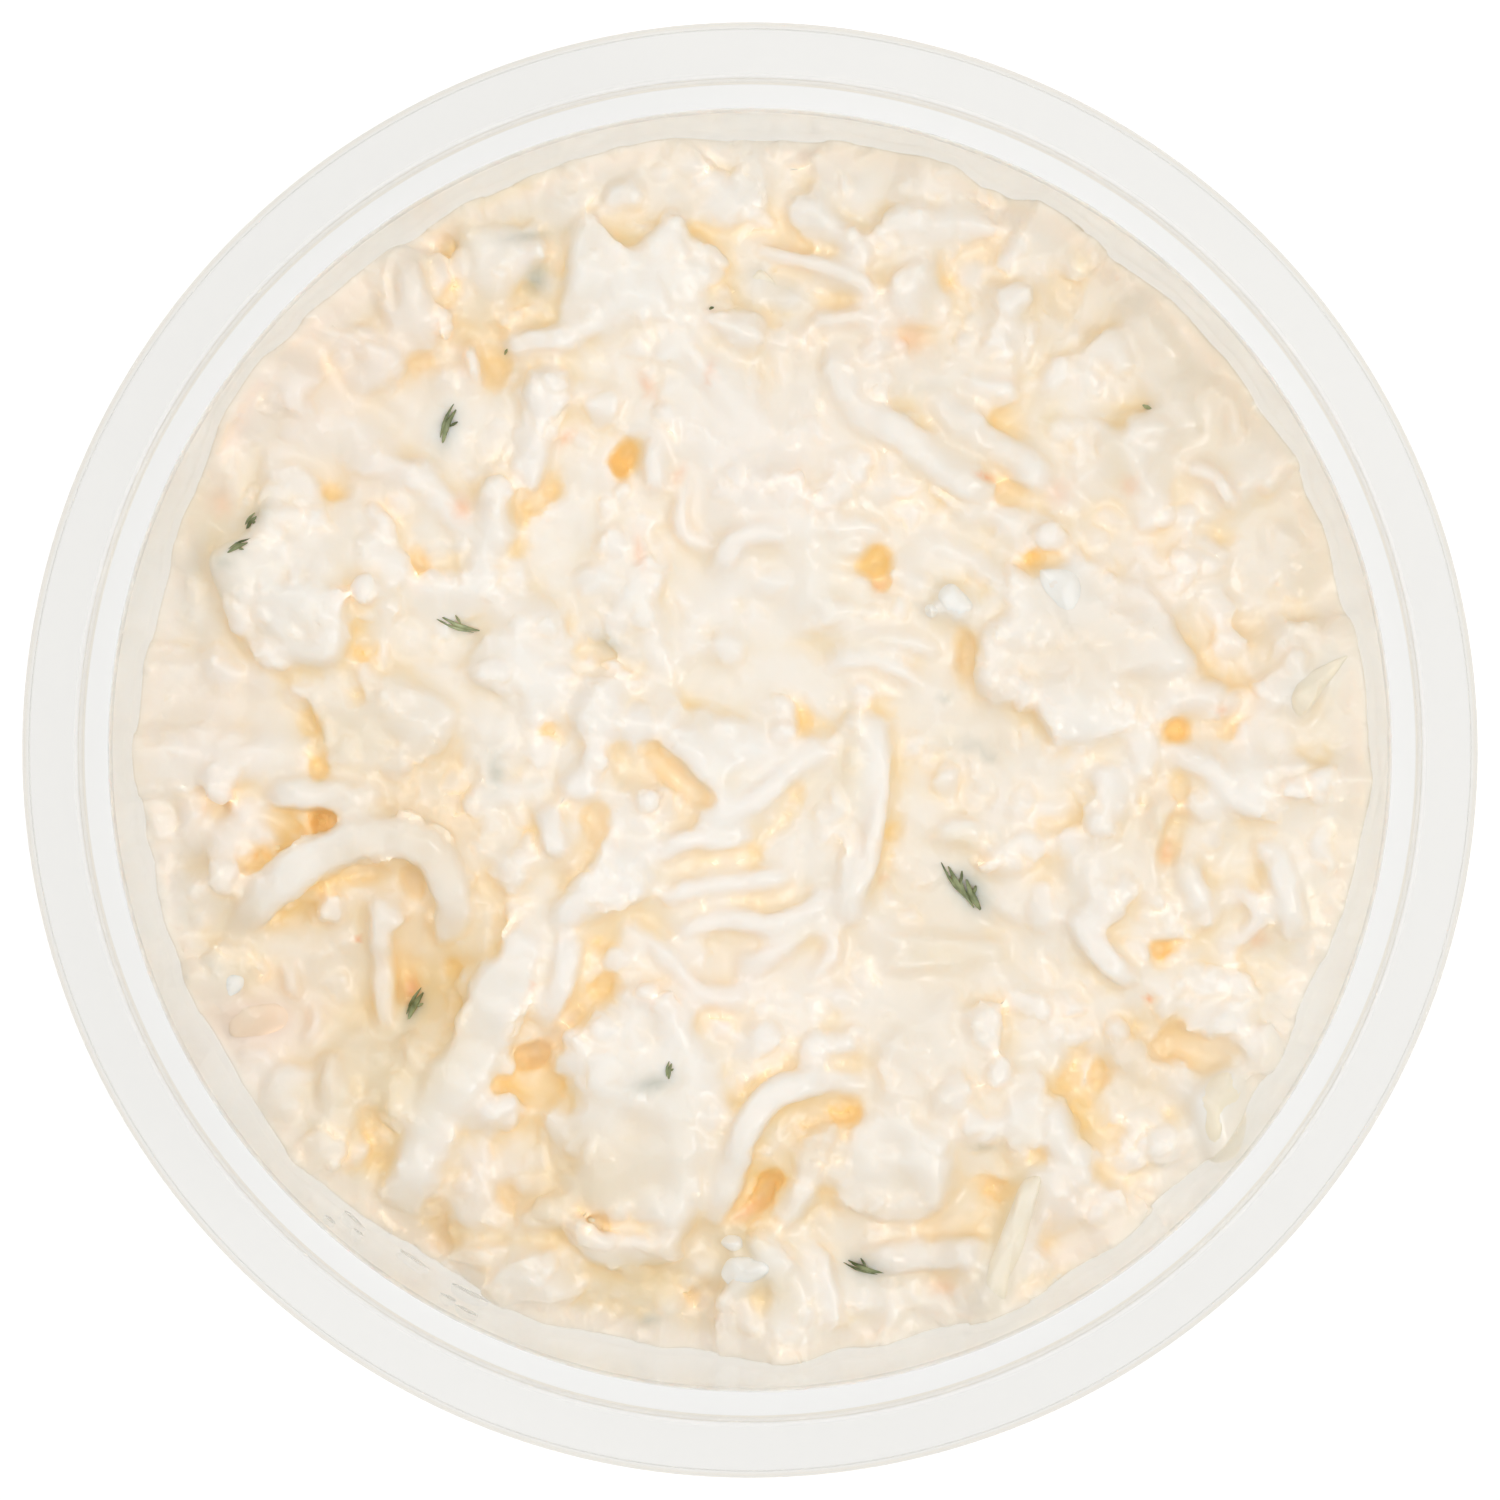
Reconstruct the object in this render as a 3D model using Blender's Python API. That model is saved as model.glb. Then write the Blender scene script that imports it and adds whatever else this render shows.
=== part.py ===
"""Cheese salad in its clear round tub.

The tub is a thin-walled pot with a draft, a ledge for its lid and a flat sealing flange.
The salad fills it as one heap: a core with a rolling top, and on it the grated strands,
crumbs and dill that show, joined into one solid. The origin is the centre of the base.
"""

import math
import random

import bmesh
import bpy
from mathutils import Matrix, Vector, noise

MM = 0.001

# The tub, in millimetres.
TUB_HEIGHT = 48.0
FLANGE_RADIUS = 50.5
MOUTH_RADIUS = 46.6
LEDGE_RADIUS = 44.45
LEDGE_DROP = 2.2
WALL = 0.6
EDGE_ROUND = 0.3
SKIRT_DROP = 1.4
STEP_LEAN = 0.2
BASE_CORNER = 3.0
RING_INNER_RADIUS = 31.0
PANEL_RISE = 1.0
DRAFT_DEGREES = 10.0
TUB_SEGMENTS = 64

DRAFT = math.tan(math.radians(DRAFT_DEGREES))
LEDGE_LEVEL = TUB_HEIGHT - LEDGE_DROP
FLOOR_LEVEL = PANEL_RISE + WALL

# The salad, in millimetres.
CLEARANCE = 0.3
CENTRE_LEVEL = 39.6
HIGHEST = 42.9
FOOT_CORNER = 2.6
SHOULDER = 2.5
CORE_SEGMENTS = 56
CORE_RINGS = 12
RUMPLE_HEIGHT = 0.9
RUMPLE_SPANS = (6.2, 2.8)

# How high the salad stands against the wall: angle from +X in degrees, level.
WALL_LINE = (
    (0, 40.8), (12, 39.4), (45, 39.6), (70, 39.2), (90, 38.5), (102, 39.8), (125, 39.8),
    (140, 40.8), (150, 40.2), (160, 38.2), (169, 36.4), (175, 37.2), (181, 40.6), (190, 36.0),
    (200, 37.4), (222, 37.4), (235, 35.8), (250, 37.0), (260, 35.4), (270, 37.4), (285, 37.5),
    (300, 40.2), (312, 38.5), (340, 37.6), (350, 39.8), (360, 40.8),
)

# Hills and hollows of the top: x, y, radius, rise.
SWELLS = (
    (-30.3, 12.0, 6.5, 1.8), (-9.2, -3.5, 6.5, 1.5), (24.0, 7.0, 7.5, 1.9),
    (25.4, -10.6, 5.5, 1.1), (-7.8, 29.6, 6.0, 1.2), (0.7, 22.6, 8.0, 1.1),
    (5.0, 15.0, 7.0, 0.7), (-6.3, -28.2, 7.2, 2.0), (8.0, -5.0, 5.0, 0.7),
    (12.0, -26.0, 7.0, 0.8), (-29.0, -17.0, 7.0, -2.2), (-28.9, 23.0, 7.0, -1.2),
    (-38.0, 4.0, 5.0, -1.0), (17.6, -12.0, 5.5, -1.0), (14.1, -32.0, 4.0, -1.6),
    (36.0, 12.0, 7.0, -0.8), (-22.9, -16.2, 3.5, -2.3), (-14.8, -21.9, 2.8, -2.2),
    (0.5, -31.0, 3.0, -2.4),
)

# The strands that stand out: start x, y, end x, y, width, sideways bow, lift.
STRANDS = (
    (-14.0, -8.3, -24.5, -32.8, 4.2, -0.8, 0.9),
    (-36.2, -12.8, -17.3, -12.7, 2.6, 6.4, 0.9),
    (-34.4, -3.2, -25.7, -3.0, 2.3, 0.1, 0.8),
    (-26.6, -10.9, -25.8, -19.6, 1.9, 0.3, 0.6),
    (-21.6, -35.4, -7.8, -36.4, 2.9, -0.5, 0.6),
    (21.3, -24.0, 23.6, -30.5, 2.6, 0.4, 0.8),
    (21.1, -29.3, 16.6, -38.5, 2.1, -0.5, 0.8),
    (31.9, -22.6, 33.3, -29.3, 3.7, 0.3, 0.5),
    (37.5, 1.9, 42.0, 6.2, 0.9, -0.4, 0.3),
    (4.2, 34.0, 8.9, 31.7, 1.8, 0.9, 0.4),
    (4.6, 30.2, 9.4, 31.0, 1.4, 0.2, 0.4),
    (6.5, 24.5, 15.2, 19.4, 2.2, 0.6, 0.6),
    (15.2, 19.4, 21.1, 18.2, 1.9, -0.4, 0.5),
    (2.0, -2.5, 5.8, 0.6, 2.0, -0.3, 1.0),
    (8.6, 2.7, 7.0, -12.3, 1.9, 0.5, 0.5),
    (24.7, -1.4, 25.7, -5.6, 2.3, 0.5, 0.6),
    (-15.5, 25.7, -19.2, 15.2, 3.7, -0.6, 0.8),
    (-25.2, 34.4, -22.9, 28.6, 3.8, -1.2, 0.6),
    (-19.6, 36.0, -17.4, 31.6, 3.2, 0.5, 0.7),
    (-5.5, 37.7, -2.1, 34.2, 2.2, 0.5, 0.6),
    (9.9, -13.7, 18.3, -14.5, 2.2, 0.3, 0.3),
    (24.7, 6.2, 31.8, 6.5, 2.4, 0.4, 0.9),
    (27.5, 3.4, 33.6, 4.2, 2.1, -0.3, 0.5),
    (10.9, 34.9, 13.0, 31.7, 2.2, 0.3, 0.6),
    (-9.2, -12.7, -1.8, -16.9, 1.6, -1.4, 0.4),
    (7.8, -36.1, 16.9, -34.2, 2.4, 0.4, 0.5),
)
STRAND_DEPTH = 2.2

# The lumps that stand out: x, y, half length, half width, turn in degrees, lift.
LUMPS = (
    (-1.1, 38.6, 2.5, 1.9, 10, 0.3), (2.8, 39.0, 2.1, 1.7, 0, 0.2),
    (-6.4, -35.2, 4.6, 2.2, 8, 0.6), (-29.2, -10.6, 1.3, 1.6, 0, 0.2),
    (-26.2, -10.9, 1.5, 1.4, 0, 0.2), (21.9, 12.0, 1.8, 1.1, 120, 0.5),
    (14.4, 10.6, 1.5, 1.2, 30, 0.5), (-35.0, 17.4, 2.4, 1.8, 40, 0.4),
    (-24.6, 15.6, 2.0, 1.5, 60, 0.5), (-27.2, 8.0, 1.8, 1.3, 20, 0.5),
    (-38.4, -2.2, 2.6, 2.0, 70, 0.3), (-34.2, -6.4, 2.0, 1.6, 30, 0.3),
    (27.6, -36.0, 1.8, 1.3, 30, 0.2), (3.6, -23.4, 2.4, 1.6, 0, 0.4),
    (-38.6, -16.0, 1.3, 1.1, 0, 0.2), (-34.8, -18.9, 2.0, 1.3, 5, 0.2),
)
LUMP_SINK = 0.35
LUMP_DENTS = 0.22
LARGE_LUMP = 1.3

# Cut dill: x, y, turn in degrees, length.
DILL = (
    (-21.3, 22.8, 75, 2.9), (-20.4, 8.9, 175, 2.6), (15.2, -9.6, 118, 4.2),
    (8.2, -36.5, 165, 2.6), (-6.4, -22.9, 30, 2.4), (-23.8, -17.5, 62, 2.0),
    (-36.6, 13.4, 25, 2.4), (-35.2, 16.1, 50, 1.8), (28.0, 24.2, 150, 1.8),
    (-18.0, -1.2, 110, 2.0),
)
DILL_WIDTH = 0.8
DILL_DEPTH = 1.8
DILL_LIFT = -0.4

# The smaller strands and crumbs between them, spread by chance from one seed.
SEED = 11
SMALL_STRANDS = 26
SMALL_STRAND_GAP = 3.2
SMALL_STRAND_LENGTHS = (5.0, 10.0)
SMALL_STRAND_WIDTHS = (1.6, 2.5)
CRUMBS = 30
CRUMB_GAP = 2.0
CRUMB_RADII = (0.9, 1.6)
SPREAD_RADIUS = 40.0
SPOTS_TRIED = 14


def clear_scene():
    for item in list(bpy.data.objects):
        bpy.data.objects.remove(item)


def plain_finish(name, colour, roughness, alpha=1.0):
    """A Principled finish of one colour."""
    made = bpy.data.materials.new(name)
    made.use_nodes = True
    shader = made.node_tree.nodes["Principled BSDF"]
    shader.inputs["Base Color"].default_value = (*colour, 1.0)
    shader.inputs["Roughness"].default_value = roughness
    shader.inputs["Metallic"].default_value = 0.0
    shader.inputs["Alpha"].default_value = alpha
    return made


def object_from(bm, name, finish):
    mesh = bpy.data.meshes.new(name)
    bm.to_mesh(mesh)
    bm.free()
    mesh.materials.append(finish)
    made = bpy.data.objects.new(name, mesh)
    bpy.context.scene.collection.objects.link(made)
    return made


def wall_radius(level):
    """Radius of the tub's inner wall at a level."""
    return LEDGE_RADIUS - (LEDGE_LEVEL - level) * DRAFT


def arc(centre, radius, start, end, steps):
    """Points of an arc in the section's plane, angles in degrees."""
    turns = [math.radians(start + (end - start) * i / steps) for i in range(steps + 1)]
    return [(centre[0] + radius * math.cos(t), centre[1] + radius * math.sin(t)) for t in turns]


def tub_section():
    """Half of the tub's section: from the axis out under the tub, up, and back down inside."""
    corner = (wall_radius(BASE_CORNER) + WALL - BASE_CORNER, BASE_CORNER)
    wall_turn = -8
    under_ledge = LEDGE_LEVEL - WALL
    under_flange = TUB_HEIGHT - WALL
    outside = [(0.0, PANEL_RISE), (RING_INNER_RADIUS - PANEL_RISE, PANEL_RISE), (RING_INNER_RADIUS, 0.0)]
    outside += arc(corner, BASE_CORNER, -90, wall_turn, 4)
    outside += [
        (wall_radius(under_ledge) + WALL, under_ledge),
        (MOUTH_RADIUS + WALL - STEP_LEAN, under_ledge),
        (MOUTH_RADIUS + WALL, under_flange),
        (FLANGE_RADIUS - WALL, under_flange),
        (FLANGE_RADIUS - WALL, TUB_HEIGHT - SKIRT_DROP),
        (FLANGE_RADIUS, TUB_HEIGHT - SKIRT_DROP),
    ]
    outside += arc((FLANGE_RADIUS - EDGE_ROUND, TUB_HEIGHT - EDGE_ROUND), EDGE_ROUND, 0, 90, 2)
    inside = arc((MOUTH_RADIUS + EDGE_ROUND, TUB_HEIGHT - EDGE_ROUND), EDGE_ROUND, 90, 180, 2)
    step_foot = (MOUTH_RADIUS - STEP_LEAN - EDGE_ROUND, LEDGE_LEVEL + EDGE_ROUND)
    inside += arc(step_foot, EDGE_ROUND, 0, -90, 2)
    inside += [
        (LEDGE_RADIUS + EDGE_ROUND, LEDGE_LEVEL),
        (wall_radius(LEDGE_LEVEL - EDGE_ROUND), LEDGE_LEVEL - EDGE_ROUND),
    ]
    inside += arc(corner, BASE_CORNER - WALL, wall_turn, -90, 3)
    inside += [
        (RING_INNER_RADIUS + EDGE_ROUND, WALL),
        (RING_INNER_RADIUS + EDGE_ROUND - PANEL_RISE, FLOOR_LEVEL),
        (0.0, FLOOR_LEVEL),
    ]
    return outside + inside


def build_tub(finish):
    """The tub, turned from its section."""
    bm = bmesh.new()
    points = [bm.verts.new((r * MM, 0.0, z * MM)) for r, z in tub_section()]
    edges = [bm.edges.new(pair) for pair in zip(points, points[1:])]
    bmesh.ops.spin(
        bm, geom=points + edges, cent=(0, 0, 0), axis=(0, 0, 1), angle=math.tau,
        steps=TUB_SEGMENTS, use_merge=True, use_duplicate=False,
    )
    bmesh.ops.remove_doubles(bm, verts=bm.verts, dist=0.01 * MM)
    bmesh.ops.recalc_face_normals(bm, faces=bm.faces)
    tub = object_from(bm, "tub", finish)
    tub.data.shade_smooth()
    tub.data.set_sharp_from_angle(angle=math.radians(40))
    return tub


def wall_line(angle):
    """Level of the salad against the wall at an angle in radians."""
    turn = math.degrees(angle) % 360.0
    for (a, low), (b, high) in zip(WALL_LINE, WALL_LINE[1:]):
        if turn <= b:
            share = (turn - a) / (b - a)
            return low + (high - low) * share * share * (3 - 2 * share)
    return WALL_LINE[0][1]


def eased(value, limit, room):
    """A value let through as it is until near the limit, then slowed so it never reaches it."""
    over = value - (limit - room)
    return value if over <= 0 else limit - room * math.exp(-over / room)


def top_level(x, y):
    """Level of the salad's top at a place."""
    near_wall = min(math.hypot(x, y) / wall_radius(CENTRE_LEVEL), 1.0) ** 4
    level = CENTRE_LEVEL + (wall_line(math.atan2(y, x)) - CENTRE_LEVEL) * near_wall
    for cx, cy, radius, rise in SWELLS:
        level += rise * math.exp(-((x - cx) ** 2 + (y - cy) ** 2) / radius ** 2)
    for span in RUMPLE_SPANS:
        level += RUMPLE_HEIGHT * noise.noise(Vector((x, y, span)) / span)
    return eased(level, HIGHEST - CLEARANCE, 1.0)


def keep_inside(point):
    """A point in millimetres, held clear of the tub's wall and of the free space above, in metres."""
    z = eased(point.z, HIGHEST, 0.8)
    reach = math.hypot(point.x, point.y)
    pull = eased(reach, wall_radius(z) - CLEARANCE - 0.05, 1.2) / reach
    return Vector((point.x * pull, point.y * pull, z)) * MM


def build_core(finish):
    """The salad's own mass: it follows the tub below and rolls on top."""
    bm = bmesh.new()
    foot = FLOOR_LEVEL + CLEARANCE
    corner = FLOOR_LEVEL + FOOT_CORNER
    bmesh.ops.create_circle(
        bm, cap_ends=True, segments=CORE_SEGMENTS, radius=(wall_radius(corner) - FOOT_CORNER) * MM,
        matrix=Matrix.Translation((0.0, 0.0, foot * MM)),
    )

    def on_wall(angle, share):
        level = corner + (wall_line(angle) - corner) * share
        reach = wall_radius(level) - CLEARANCE
        return Vector((reach * math.cos(angle), reach * math.sin(angle), level)) * MM

    def on_top(angle, share):
        reach = (wall_radius(CENTRE_LEVEL) - SHOULDER) * share
        x = reach * math.cos(angle)
        y = reach * math.sin(angle)
        return Vector((x, y, top_level(x, y))) * MM

    rings = [(on_wall, share) for share in (0.0, 0.5, 1.0)]
    rings += [(on_top, math.sqrt(1.0 - i / CORE_RINGS)) for i in range(CORE_RINGS)]
    edges = bm.edges[:]
    for place, share in rings:
        grown = bmesh.ops.extrude_edge_only(bm, edges=edges)["geom"]
        for vert in (g for g in grown if isinstance(g, bmesh.types.BMVert)):
            vert.co = place(math.atan2(vert.co.y, vert.co.x), share)
        edges = [g for g in grown if isinstance(g, bmesh.types.BMEdge) and g.is_boundary]
    bmesh.ops.contextual_create(bm, geom=edges)
    bmesh.ops.triangulate(bm, faces=bm.faces)
    bmesh.ops.recalc_face_normals(bm, faces=bm.faces)
    return object_from(bm, "cheese_salad", finish)


def laid_bar(start, end, width, depth, bow, lift, sides=6, steps=5):
    """A strand on the salad's top: a bar laid along a bowed line, with its ends sunk."""
    bm = bmesh.new()
    bmesh.ops.create_cone(bm, cap_ends=True, segments=sides, radius1=1.0, radius2=1.0, depth=1.0)
    for i in range(1, steps):
        bmesh.ops.bisect_plane(
            bm, geom=bm.verts[:] + bm.edges[:] + bm.faces[:],
            plane_co=(0, 0, i / steps - 0.5), plane_no=(0, 0, 1),
        )
    origin = Vector((*start, 0.0))
    run = Vector((*end, 0.0)) - origin
    side = Vector((-run.y, run.x, 0.0)).normalized()
    middle = origin + run / 2 + side * bow
    crown = top_level(middle.x, middle.y)
    for vert in bm.verts:
        across, up, share = vert.co.x, vert.co.y, vert.co.z + 0.5
        arch = 4 * share * (1 - share)
        taper = min(1.0, 0.7 + 1.35 * min(share, 1 - share))
        sink = 1.0 if up > 0 else 1.7
        place = origin + run * share + side * bow * arch
        bed = top_level(place.x, place.y)
        bed += max(crown - bed, 0.0) * 0.5 * arch
        place.z = bed + lift * (0.2 + 0.8 * arch) + up * sink * depth / 2 * taper
        vert.co = keep_inside(place + side * across * width / 2 * taper)
    bmesh.ops.triangulate(bm, faces=bm.faces)
    bmesh.ops.recalc_face_normals(bm, faces=bm.faces)
    return bm


def turned_bar(x, y, degrees, length, width, depth, bow, lift, sides, steps):
    """A bar given by its middle, turn and length."""
    half = Vector((math.cos(math.radians(degrees)), math.sin(math.radians(degrees)))) * length / 2
    middle = Vector((x, y))
    return laid_bar(middle - half, middle + half, width, depth, bow, lift, sides, steps)


def laid_lump(x, y, half_length, half_width, degrees, lift):
    """A crumb or lump: a dented ball, half sunk in the top."""
    bm = bmesh.new()
    bmesh.ops.create_icosphere(bm, subdivisions=2 if half_length > LARGE_LUMP else 1, radius=1.0)
    half_height = min(half_length, half_width) * 0.8
    middle = Vector((x, y, top_level(x, y) + lift - LUMP_SINK))
    turn = Matrix.Rotation(math.radians(degrees), 3, "Z")
    for vert in bm.verts:
        dent = 1.0 + LUMP_DENTS * noise.noise(vert.co * 1.6 + Vector((x, y, 0.0)))
        size = Vector((half_length, half_width, half_height)) * dent
        vert.co = keep_inside(middle + turn @ (vert.co * size))
    return bm


def spread(count, rng, gap, taken):
    """Places spread evenly over the top: of a few tried, the one farthest from all others."""
    for _ in range(count):
        tried = []
        for _ in range(SPOTS_TRIED):
            angle = rng.uniform(0, math.tau)
            reach = SPREAD_RADIUS * math.sqrt(rng.random())
            spot = (reach * math.cos(angle), reach * math.sin(angle))
            tried.append((min(math.dist(spot, other) for other in taken), spot))
        room, spot = max(tried)
        if room > gap:
            taken.append(spot)
            yield spot


def small_strand(x, y, rng):
    degrees = rng.uniform(0, 180)
    length = rng.uniform(*SMALL_STRAND_LENGTHS)
    width = rng.uniform(*SMALL_STRAND_WIDTHS)
    bow = rng.uniform(-1.2, 1.2)
    lift = rng.uniform(0.2, 0.6)
    return turned_bar(x, y, degrees, length, width, width, bow, lift, sides=6, steps=4)


def crumb(x, y, rng):
    half_length = rng.uniform(*CRUMB_RADII)
    half_width = half_length * rng.uniform(0.6, 1.0)
    return laid_lump(x, y, half_length, half_width, rng.uniform(0, 180), rng.uniform(0.1, 0.4))


def top_pieces():
    """Everything that shows on the top, one small mesh at a time."""
    for x0, y0, x1, y1, width, bow, lift in STRANDS:
        yield laid_bar((x0, y0), (x1, y1), width, min(width, STRAND_DEPTH), bow, lift)
    for lump in LUMPS:
        yield laid_lump(*lump)
    for x, y, degrees, length in DILL:
        yield turned_bar(x, y, degrees, length, DILL_WIDTH, DILL_DEPTH, 0.2, DILL_LIFT, sides=4, steps=2)
    rng = random.Random(SEED)
    taken = [((x0 + x1) / 2, (y0 + y1) / 2) for x0, y0, x1, y1, *_ in STRANDS]
    taken += [(x, y) for x, y, *_ in LUMPS + DILL]
    for x, y in spread(SMALL_STRANDS, rng, SMALL_STRAND_GAP, taken):
        yield small_strand(x, y, rng)
    for x, y in spread(CRUMBS, rng, CRUMB_GAP, taken):
        yield crumb(x, y, rng)


def fuse(core, group):
    """Joins a collection's pieces to the core as one solid and removes them."""
    union = core.modifiers.new("Fused", "BOOLEAN")
    union.operation = "UNION"
    union.operand_type = "COLLECTION"
    union.collection = group
    union.solver = "EXACT"
    with bpy.context.temp_override(object=core, active_object=core):
        bpy.ops.object.modifier_apply(modifier=union.name)
    for item in list(group.objects):
        bpy.data.objects.remove(item)
    bpy.data.collections.remove(group)


def build_salad(finish):
    """The core with every piece of its top joined on."""
    core = build_core(finish)
    scene = bpy.context.scene.collection
    group = bpy.data.collections.new("top pieces")
    scene.children.link(group)
    for i, bm in enumerate(top_pieces()):
        piece = object_from(bm, f"piece_{i}", finish)
        scene.objects.unlink(piece)
        group.objects.link(piece)
    fuse(core, group)
    return core


clear_scene()
build_tub(plain_finish("clear_plastic", (0.86, 0.86, 0.83), 0.12, alpha=0.35))
build_salad(plain_finish("creamy_salad", (0.93, 0.80, 0.62), 0.35))
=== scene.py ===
"""The looks of the cheese salad in its clear tub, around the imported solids.

The tub is turned again in fine steps, as clear moulded plastic. The salad is one mass: its bed,
its flat lumps and strands, its pockets, and the loose shreds between them, melted together the way
the dressing does it, and shaped below by the tub. Egg white, bare cheese, dill and carrot lie in it
as pieces of their own.
"""

import math
import random

import bmesh
import bpy
import numpy as np
from mathutils import Matrix, Vector, noise
from mathutils.bvhtree import BVHTree
from mathutils.kdtree import KDTree


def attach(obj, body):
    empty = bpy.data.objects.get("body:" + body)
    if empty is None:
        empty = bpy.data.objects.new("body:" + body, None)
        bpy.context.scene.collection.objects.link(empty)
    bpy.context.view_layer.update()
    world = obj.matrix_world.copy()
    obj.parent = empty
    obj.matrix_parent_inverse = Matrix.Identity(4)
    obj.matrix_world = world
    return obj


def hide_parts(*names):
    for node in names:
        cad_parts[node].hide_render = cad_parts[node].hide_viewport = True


MM = 0.001

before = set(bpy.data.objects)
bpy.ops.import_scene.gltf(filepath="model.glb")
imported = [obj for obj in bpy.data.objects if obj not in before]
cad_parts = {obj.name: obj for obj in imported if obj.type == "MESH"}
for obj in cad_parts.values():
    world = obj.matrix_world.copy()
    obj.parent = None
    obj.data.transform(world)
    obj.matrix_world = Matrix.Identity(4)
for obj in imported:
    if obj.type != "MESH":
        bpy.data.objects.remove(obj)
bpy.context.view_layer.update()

# The tub, in millimetres, as in the solids.
TUB_HEIGHT = 48.0
FLANGE_RADIUS = 50.5
MOUTH_RADIUS = 46.6
LEDGE_RADIUS = 44.45
LEDGE_DROP = 2.2
WALL = 0.4
EDGE_ROUND = 0.16
SKIRT_DROP = 1.4
STEP_LEAN = 0.1
BASE_CORNER = 3.0
RING_INNER_RADIUS = 31.0
PANEL_RISE = 1.0
DRAFT = math.tan(math.radians(10.0))
LEDGE_LEVEL = TUB_HEIGHT - LEDGE_DROP
FLOOR_LEVEL = PANEL_RISE + WALL
TUB_STEPS = 240

# Where the round of the tub's base meets the wall, in degrees, and the lines that are braced.
BASE_TURN_END = -8
LONG_LINE = 1.5
BRACE_GAP = 0.12

# How strongly the plastic is tinted and how little light goes straight through it: from radius, to radius,
# share. Its rounded edges get the most: a painted dark line there, on top of the real refraction, stands in
# for the light bent and reflected at the edges.
TINT_FROM = LEDGE_LEVEL - 0.7
TINT_RINGS = (
    (LEDGE_RADIUS + 0.2, MOUTH_RADIUS, 0.2), (MOUTH_RADIUS, FLANGE_RADIUS + 0.1, 0.4),
    (LEDGE_RADIUS - 0.02, LEDGE_RADIUS + 0.2, 1.0), (MOUTH_RADIUS - 0.21, MOUTH_RADIUS + 0.05, 1.0),
    (FLANGE_RADIUS - 0.05, FLANGE_RADIUS + 0.1, 1.0),
)
# The tints by that share: bluish on the inner wall against the warm cast it picks up from the salad,
# faintly grey on the ledge and flange, and a painted dark tan on the edges.
PLASTIC_TINTS_AND_EDGE_LINES = (
    (0.0, (0.85, 0.91, 0.98)), (0.2, (0.66, 0.66, 0.64)), (0.4, (0.63, 0.62, 0.585)),
    (1.0, (0.52, 0.44, 0.30)),
)

# The salad's top, in millimetres. Its bed stops a little under the highest lumps.
CENTRE_LEVEL = 39.6
HIGHEST = 42.6
BED_HIGHEST = HIGHEST - 0.3
BED_SINK = 0.25
RUMPLE_HEIGHT = 0.8
RUMPLE_SPANS = (6.2, 2.8)

# The slab that carries the pile, the plain block below it, and the mould that cuts both.
SLAB_FOOT = 28.0
SLAB_RINGS = 34
SLAB_STEPS = 128
OVERHANG = 2.6
BLOCK_TOP = 30.5
BLOCK_HEIGHT = BLOCK_TOP + 4.0
BLOCK_RADIUS = 60.0
BLOCK_STEPS = 64
WALL_BITE = 0.12
FLOOR_BITE = 0.1
MOULD_STEPS = 40
MOULD_WALL_FOOT = FLOOR_LEVEL + 4.0

# Waves of noise, each by its height and span: on the wall line, on a mound, and the fine dimples.
WALL_WAVES = ((3.0, 5.0), (1.2, 1.9))
MOUND_WAVES = ((1.2, 3.8), (0.45, 1.7))
DIMPLES = ((0.10, 1.1), (0.05, 0.5))

# How high the salad stands against the wall: angle from +X in degrees, level.
WALL_LINE = (
    (0, 40.8), (12, 39.4), (45, 39.6), (70, 39.2), (90, 38.5), (102, 39.8), (125, 39.8),
    (140, 40.8), (150, 40.2), (160, 38.2), (169, 37.6), (175, 38.2), (181, 40.2), (190, 37.4),
    (200, 37.4), (222, 37.4), (235, 35.8), (250, 37.0), (260, 35.4), (270, 38.0), (285, 38.2),
    (300, 40.2), (312, 38.5), (340, 37.6), (350, 39.8), (360, 40.8),
)

# Hills and hollows of the top: x, y, radius, rise.
SWELLS = (
    (-30.3, 12.0, 6.5, 1.4), (-9.2, -3.5, 6.5, 1.3), (24.0, 7.0, 7.5, 1.7),
    (25.4, -10.6, 5.5, 1.1), (-7.8, 29.6, 6.0, 1.0), (0.7, 22.6, 8.0, 1.1),
    (5.0, 15.0, 7.0, 0.7), (-6.3, -26.2, 7.2, 1.6), (8.0, -5.0, 5.0, 0.6),
    (12.0, -26.0, 7.0, 0.7), (-29.0, -17.0, 7.0, -2.0), (-28.9, 23.0, 7.0, -1.1),
    (-38.0, 4.0, 5.0, -0.3), (17.6, -12.0, 5.5, -0.9), (14.1, -32.0, 4.0, -0.9),
    (36.0, 12.0, 7.0, -0.7), (-22.9, -16.2, 3.5, -1.8), (-14.8, -21.9, 2.8, -1.4),
    (28.6, -21.4, 3.6, -1.4), (22.0, 30.4, 3.6, -0.9), (2.0, -31.0, 3.6, -1.0),
)

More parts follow.
